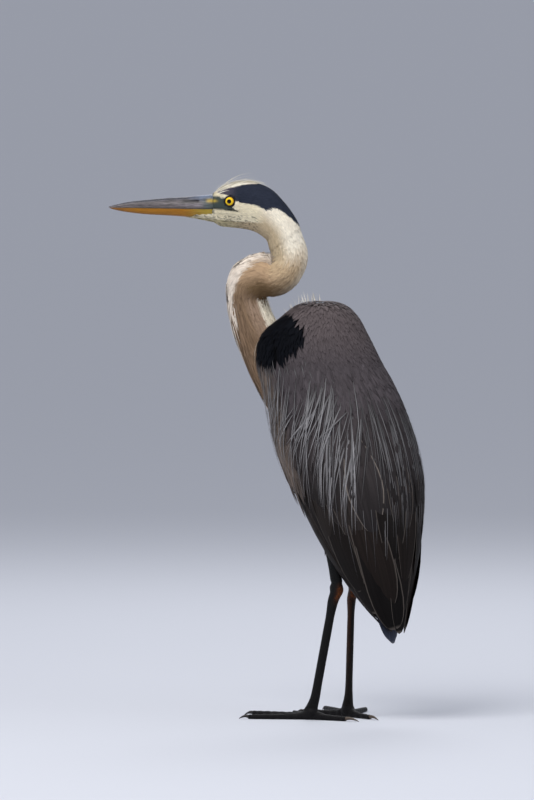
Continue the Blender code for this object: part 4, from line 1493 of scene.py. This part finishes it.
def makeEye(side):  # eyeball with iris, pupil and a slightly bulging cornea
    look = eyeLook
    radius, turns, out = look["radius"], ringTurns(look["sides"]), facingOut(side, look["turnedAhead"])
    iris, amber, pupil, ball = (linear(*look[key]) for key in ("iris", "amber", "pupil", "ball"))
    up = unit(np.cross(np.cross(out, (0, 0, 1)), out)[None])[0]
    around = np.outer(np.cos(turns), up) + np.outer(np.sin(turns), np.cross(out, up))
    rays = iris * (1 - 0.12 * (0.5 + 0.5 * np.sin(turns * 17) * np.sin(turns * 7 + 1)))[:, None]
    even = np.ones(len(turns))
    rings, tones = [], []
    for tilt in np.radians(np.concatenate([np.linspace(0, 60, 50), np.linspace(60, 180, 22)[1:]])):
        off, inFront = radius * math.sin(tilt), tilt < 1.5
        bulge = look["cornea"] * smoothStep(6.6, 3.0, off) if inFront else 0.0
        away = out * math.cos(tilt) + around * math.sin(tilt)
        rings.append(eyeCentre(side, eyePlace["side"]) + away * (radius + bulge))
        layers = (
            (amber, smoothStep(4.6, 5.9, off) * 0.8),
            (amber, smoothStep(3.5, 2.9, off) * 0.5),
            (pupil, smoothStep(3.05, 2.8, off)),
            (ball, smoothStep(5.9, 6.3, off) if inFront else 1.0),
        )
        tones.append(layered(rays, *((tone, share * even) for tone, share in layers)))
    return closedLoft("eyeball" + sideNames[side], rings, np.concatenate(tones), capped=False)


lidLook = {
    "sides": (56, 12), "forward": 5.3, "half": (6.7, 7.1), "thick": (1.5, 1.0), "tone": (18, 18, 20),
    "turnedAhead": 0.05,
    "finish": {"roughness": 0.55, "specular": 0.3, "grain": 0.2, "grainScale": 900.0},
}  # fmt: skip


def makeLids(side):  # the dark rim of bare skin round an eye
    look, out, up = lidLook, facingOut(side, lidLook["turnedAhead"]), np.array((0, 0, 1.0))
    centre, right = eyeCentre(side, eyePlace["side"]) + out * look["forward"], np.cross(out, up)
    (long, short), (high, wide), rings = look["sides"], look["half"], []
    for turn in ringTurns(long):
        away = up * math.cos(turn) * high + right * math.sin(turn) * wide
        rings.append(ovalRing(centre + away, unit(away[None])[0], out, *look["thick"], short))
    return closedLoft("lid" + sideNames[side], [*rings, rings[0]], linear(*look["tone"]), capped=False)


# Legs. A toe's heading counts from the foot's own way ahead, towards the inside.

footReach = 17.5  # from the foot's middle to where a toe's length counts from
toes = {
    "middle": {"heading": 0, "length": 88, "claw": 16, "root": 4.8, "knuckles": 4},
    "inner": {"heading": 34, "length": 64, "claw": 13, "root": 4.4, "knuckles": 3},
    "outer": {"heading": -33, "length": 72, "claw": 13, "root": 4.4, "knuckles": 4},
    "hind": {"heading": None, "length": 38, "claw": 21, "root": 4.4, "knuckles": 2},
}
# share of the way from hock to foot, half width, half depth
tarsusRows = (
    (0.0, 5.6, 8.2), (0.06, 6.9, 10.4), (0.14, 6.3, 8.8), (0.24, 4.9, 7.1), (0.36, 4.8, 7.0), (0.5, 4.8, 7.0),
    (0.66, 4.8, 7.0), (0.78, 4.9, 7.1), (0.86, 5.7, 7.5), (0.92, 7.2, 9.0), (0.96, 8.2, 11.4), (1.0, 8.4, 14.0),
)  # fmt: skip
legLook = {
    "near": (8, 8, 9), "brown": (18, 11, 5), "spot": (116, 60, 16), "toe": (17, 15, 18), "voxel": 1.15,
    "softening": 5, "hub": (9.4, 9.8), "hubHeight": 9, "hubTop": 17.2, "tarsusRings": 110, "plates": 60,
    "plateRise": 0.22, "knob": 2.2, "scuteStep": 3.4, "scuteRise": 0.18,
    "finish": {
        "roughness": 0.5, "specular": 0.16, "grain": 1.0, "grainScale": 260.0, "scales": (420.0, 0.0006, 0.3),
    },
}  # fmt: skip
clawLook = {
    "hind": (84, 72, 62), "front": (40, 36, 36), "rings": 24, "sides": 16,
    "finish": {"roughness": 0.4, "specular": 0.4, "grain": 0.15, "grainScale": 500.0},
}  # fmt: skip


def ovalRing(centre, across, along, halfAcross, halfAlong, sides=24):
    turn = ringTurns(sides)
    return centre + np.outer(np.cos(turn) * halfAcross, across) + np.outer(np.sin(turn) * halfAlong, along)


def headed(degrees):  # level directions ahead and to the left of a heading
    turn = math.radians(degrees)
    return np.array((math.sin(turn), -math.cos(turn), 0)), np.array((math.cos(turn), math.sin(turn), 0))


def toeWays(side):  # each toe's name and settings, its direction, and the direction across it
    spot = legPlaces[side]
    for name, toe in toes.items():
        hind = toe["heading"] is None
        way, left = headed(spot["hind"] if hind else spot["ahead"] - toe["heading"] * spot["outward"])
        yield name, toe, way, -left


def frontOf(sides):  # how far each point of a ring faces its second direction, none behind
    return np.clip(np.sin(ringTurns(sides)), 0, 1)


def makeTarsus(side, base):  # the long bare bone, with plates in front and a stain behind the hock
    look = legLook
    knee, hock, foot = (legPoint(side, which) for which in ("knee", "hock", "foot"))
    forward, left = headed(legPlaces[side]["ahead"])
    top, ankle = hock + (knee - hock) * 0.078, foot - np.array((0, 0, 4.5))
    rings, tones = [], []
    for share in np.linspace(0, 1, look["tarsusRings"]):
        centre = top + (ankle - top) * share
        centre[1] += 3.5 * hump(share, 0.07, 0.05)
        centre += forward * 5.0 * smoothStep(0.84, 1.0, share)
        ring = ovalRing(centre, left, forward, *spline(tarsusRows, share)[0])
        plate = abs(math.sin(share * look["plates"] * math.pi / 2)) ** 0.5 * (0.2 < share < 0.97)
        rise = look["plateRise"] * plate + look["knob"] * hump(share, 0.045, 0.022)
        ring += forward * rise * frontOf(24)[:, None]
        around = ring - ring.mean(0)
        brownShare = np.clip(-(around @ forward) / 7, 0, 1) ** 3 * hump(share, 0.09, 0.05) * 0.8
        # the right leg is also browner down its left side, for most of its length
        if side == "right":
            brownShare = np.maximum(brownShare, np.clip(around @ left / 5, 0, 1) * smoothStep(1.0, 0.1, share) * 0.35)
        rings.append(ring)
        tones.append(blend(base, linear(*look["spot"]), brownShare))
    return closedLoft("tarsus", rings, np.concatenate(tones))


def makeToe(foot, toe, way, across):
    look, end, sides, rings = legLook, footReach + toe["length"], 20, []
    for distance in np.linspace(0, end, 70):
        share = distance / end
        radius = toe["root"] * (1.1 - 0.3 * share) + 3.0 * hump(distance, 0, 15)
        joint = math.cos(share * toe["knuckles"] * 2 * math.pi) ** 2 if share > 0.1 else 1
        half = radius * (0.84 + 0.18 * joint), radius + 0.4 * joint
        centre = np.array((foot[0], foot[1], radius * 0.82)) + way * distance
        ring = ovalRing(centre, across, (0, 0, 1), *half, sides)
        scute = look["scuteRise"] * abs(math.sin(distance * math.pi / look["scuteStep"])) ** 0.6
        ring[:, 2] = np.maximum(ring[:, 2] + scute * frontOf(sides), 0.0)
        rings.append(ring)
    return closedLoft("toe", rings, linear(*look["toe"]))


def makeLeg(side):  # shank, tarsus, toes and the hub between them, melted into one
    look = legLook
    knee, hock, foot = (legPoint(side, which) for which in ("knee", "hock", "foot"))
    base = linear(*look["near"])
    # the right leg is browner all over
    if side == "right":
        base = (base + linear(*look["brown"])) / 2
    x, y = (1, 0, 0), (0, 1, 0)
    shares = np.linspace(0.56, 0.92, 40)
    halves = spline(shankRows, np.maximum(shares, 0.6))
    rings = [ovalRing(knee + (hock - knee) * share, x, y, *half) for share, half in zip(shares, halves)]
    pieces = [closedLoft("shank", rings, base), makeTarsus(side, base)]
    pieces += [makeToe(foot, *toe) for _, *toe in toeWays(side)]
    (wide, deep), rings = look["hub"], []
    for tilt in np.linspace(0.02, math.pi - 0.02, 24):
        centre = np.array((foot[0], foot[1], look["hubHeight"] + math.cos(tilt) * wide))
        rings.append(ovalRing(centre, x, y, math.sin(tilt) * wide, math.sin(tilt) * deep))
        rings[-1][:, 2] = np.clip(rings[-1][:, 2], 0, look["hubTop"])
    pieces.append(closedLoft("hub", rings, linear(*look["toe"])))
    leg = joined("leg" + side.title(), pieces)
    before, tones = pointsOf(leg.data), np.empty(len(leg.data.vertices) * 4, np.float32)
    leg.data.attributes["tone"].data.foreach_get("color", tones)
    oneSurface(leg, look["voxel"], look["softening"])
    paint(leg.data, tones.reshape(-1, 4)[nearestOf(before, pointsOf(leg.data)), :3])
    return leg


def makeClaws(side):
    look, foot, pieces = clawLook, legPoint(side, "foot"), []
    count, sides = look["rings"], look["sides"]
    for name, toe, way, across in toeWays(side):
        start, radius, rings = footReach + toe["length"] - 1, toe["root"] * 0.68 * 0.8, []
        for share in 1 - (1 - np.linspace(0, 1, count)) ** 1.3:
            size = radius * (1 - share) ** 0.7 + 0.25
            arch = 2.2 * math.sin(share * math.pi) * (1 - share * 0.5)
            centre = np.array((foot[0], foot[1], 0)) + way * (start + (toe["claw"] + 1) * share)
            centre[2] = size + 0.2 + arch + radius * 0.25 * (1 - share)
            rings.append(ovalRing(centre, across, (0, 0, 1), size * 0.8, size, sides))
        darker = np.repeat(1 - 0.5 * np.arange(count) / count, sides)[:, None]
        tone = linear(*look["hind" if name == "hind" else "front"]) * darker
        pieces.append(closedLoft("claw", rings, tone))
    return joined("claws" + side.title(), pieces)


# Assembly.

skinNodes = ("head", "neck_upper", "neck_bend", "neck_chest", "neck_base", "trunk", "thigh_left", "thigh_right")
skin = makeSkin()
refineFace(skin)
paintSkin(skin)
finishPiece(skin, paintedMaterial("skin", **skinShape["finish"]), "plumage_grey", *skinNodes)
print("skin", len(skin.data.polygons))
headCoat()
faceCoat()
neckCoat()
hangForeneckPlumes()
layCrownPlumes()
chinCoat()
neckFluff()
napeWisps()
print("coat of head and neck")
mantleCoat()
patchCoat()
flankCoat()
coverts()
for side in legPlaces:
    thighCoat(side)
print("coat of the body")
flightFeathers()
hangingPlumes()
innerWing = paintedMaterial("innerWing", **wingLining["finish"])
for side, title in sideNames.items():
    finishPiece(wingShell(side), innerWing, "plumage_slate", "wing_" + title.lower())
tailFeathers()
print("wings and tail")
finishPiece(makeBill(True), paintedMaterial("hornGrey", **billLook["upper"]), "bill_grey", "bill_upper")
finishPiece(makeBill(False), paintedMaterial("hornYellow", **billLook["lower"]), "bill_yellow", "bill_lower")
eyeGloss = paintedMaterial("eyeGloss", **eyeLook["finish"])
lidSkin = paintedMaterial("lidSkin", **lidLook["finish"])
for side, title in sideNames.items():
    finishPiece(makeEye(side), eyeGloss, "eye", "eye_" + title.lower())
    finishPiece(makeLids(side), lidSkin, "leg_skin")
legHide = paintedMaterial("legHide", **legLook["finish"])
clawHorn = paintedMaterial("clawHorn", **clawLook["finish"])
for side in legPlaces:
    legNodes = [f"{part}_{side}" for part in ("shank", "tarsus", "foot", *("toe_" + name for name in toes))]
    finishPiece(makeLeg(side), legHide, "leg_skin", *legNodes)
    finishPiece(makeClaws(side), clawHorn, "claw", *(f"claw_{name}_{side}" for name in toes))
print("bill, eyes and legs")

# Floor, light and camera.

studio = {
    "floor": (0.58, 0.6, 0.66, 1.0), "floorRadius": 120, "horizon": (0.302, 0.32, 0.376, 1.0),
    "overhead": (0.54, 0.553, 0.592, 1.0), "aim": (0, 0, 0.42),
}  # fmt: skip
# azimuth and elevation in degrees, distance and size in metres, power, colour
studioLights = {
    "key": (95, 52, 3.2, 1.6, 70, (1.0, 0.98, 0.95)),
    "fill": (175, 25, 3.5, 2.5, 22, (0.93, 0.96, 1.0)),
    "rim": (300, 40, 3.2, 1.5, 30, (1.0, 1.0, 1.0)),
}


def wayTo(azimuth, elevation):
    a, e = math.radians(azimuth), math.radians(elevation)
    return Vector((math.sin(a) * math.cos(e), -math.cos(a) * math.cos(e), math.sin(e)))


def turned(holder, way):  # placed in the scene, with its back to the way given
    bpy.context.scene.collection.objects.link(holder)
    holder.rotation_mode = "QUATERNION"
    holder.rotation_quaternion = way.to_track_quat("Z", "Y")


def makeWorld():  # paler overhead, and at the horizon as dark as the far floor
    world = bpy.data.worlds.new("studio")
    world.use_nodes = True
    tree = world.node_tree
    way = addNode(tree, "ShaderNodeTexCoord").outputs["Generated"]
    height = addNode(tree, "ShaderNodeSeparateXYZ", {0: way}).outputs["Z"]
    rise = addNode(tree, "ShaderNodeMapRange", {"Value": height, "From Min": 0.06, "From Max": 0.4}).outputs[0]
    wires = {0: rise, 6: studio["horizon"], 7: studio["overhead"]}
    sky = addNode(tree, "ShaderNodeMix", wires, data_type="RGBA").outputs[2]
    tree.links.new(sky, tree.nodes["Background"].inputs["Color"])
    bpy.context.scene.world = world


def makeStage():
    disc = bmesh.new()
    bmesh.ops.create_circle(disc, cap_ends=True, radius=studio["floorRadius"], segments=96)
    mesh = bpy.data.meshes.new("floor")
    disc.to_mesh(mesh)
    disc.free()
    floor = objectOf("floor", mesh)
    shader = Shader("paleFloor", 0.9, 0.1)
    shader.base["Base Color"].default_value = studio["floor"]
    mesh.materials.append(shader.material)
    for name, (azimuth, elevation, distance, size, power, colour) in studioLights.items():
        lamp = bpy.data.lights.new(name, "AREA")
        lamp.energy, lamp.size, lamp.color = power, size, colour
        holder = bpy.data.objects.new(name, lamp)
        way = wayTo(azimuth, elevation)
        turned(holder, way)
        holder.location = Vector(studio["aim"]) + way * distance


# the shot: height seen and the picture's middle, left of and above the stand point, in metres
shot = {"azimuth": 125, "elevation": 3, "distance": 14, "tall": 1.12, "left": 0.1092, "up": 0.4466}


def makeCamera():
    back = wayTo(shot["azimuth"], shot["elevation"])
    lens = bpy.data.cameras.new("camera")
    lens.sensor_width = 36
    lens.lens = lens.sensor_width * shot["distance"] / shot["tall"]
    lens.clip_end = 500
    camera = bpy.data.objects.new("camera", lens)
    turned(camera, back)
    right, up = (camera.rotation_quaternion @ Vector(axis) for axis in ((1, 0, 0), (0, 1, 0)))
    camera.location = Vector(standPoint) - right * shot["left"] + up * shot["up"] + back * shot["distance"]
    bpy.context.scene.camera = camera


makeWorld()
makeStage()
makeCamera()
bpy.context.scene.view_settings.view_transform = "Standard"
print("floor, light and camera")
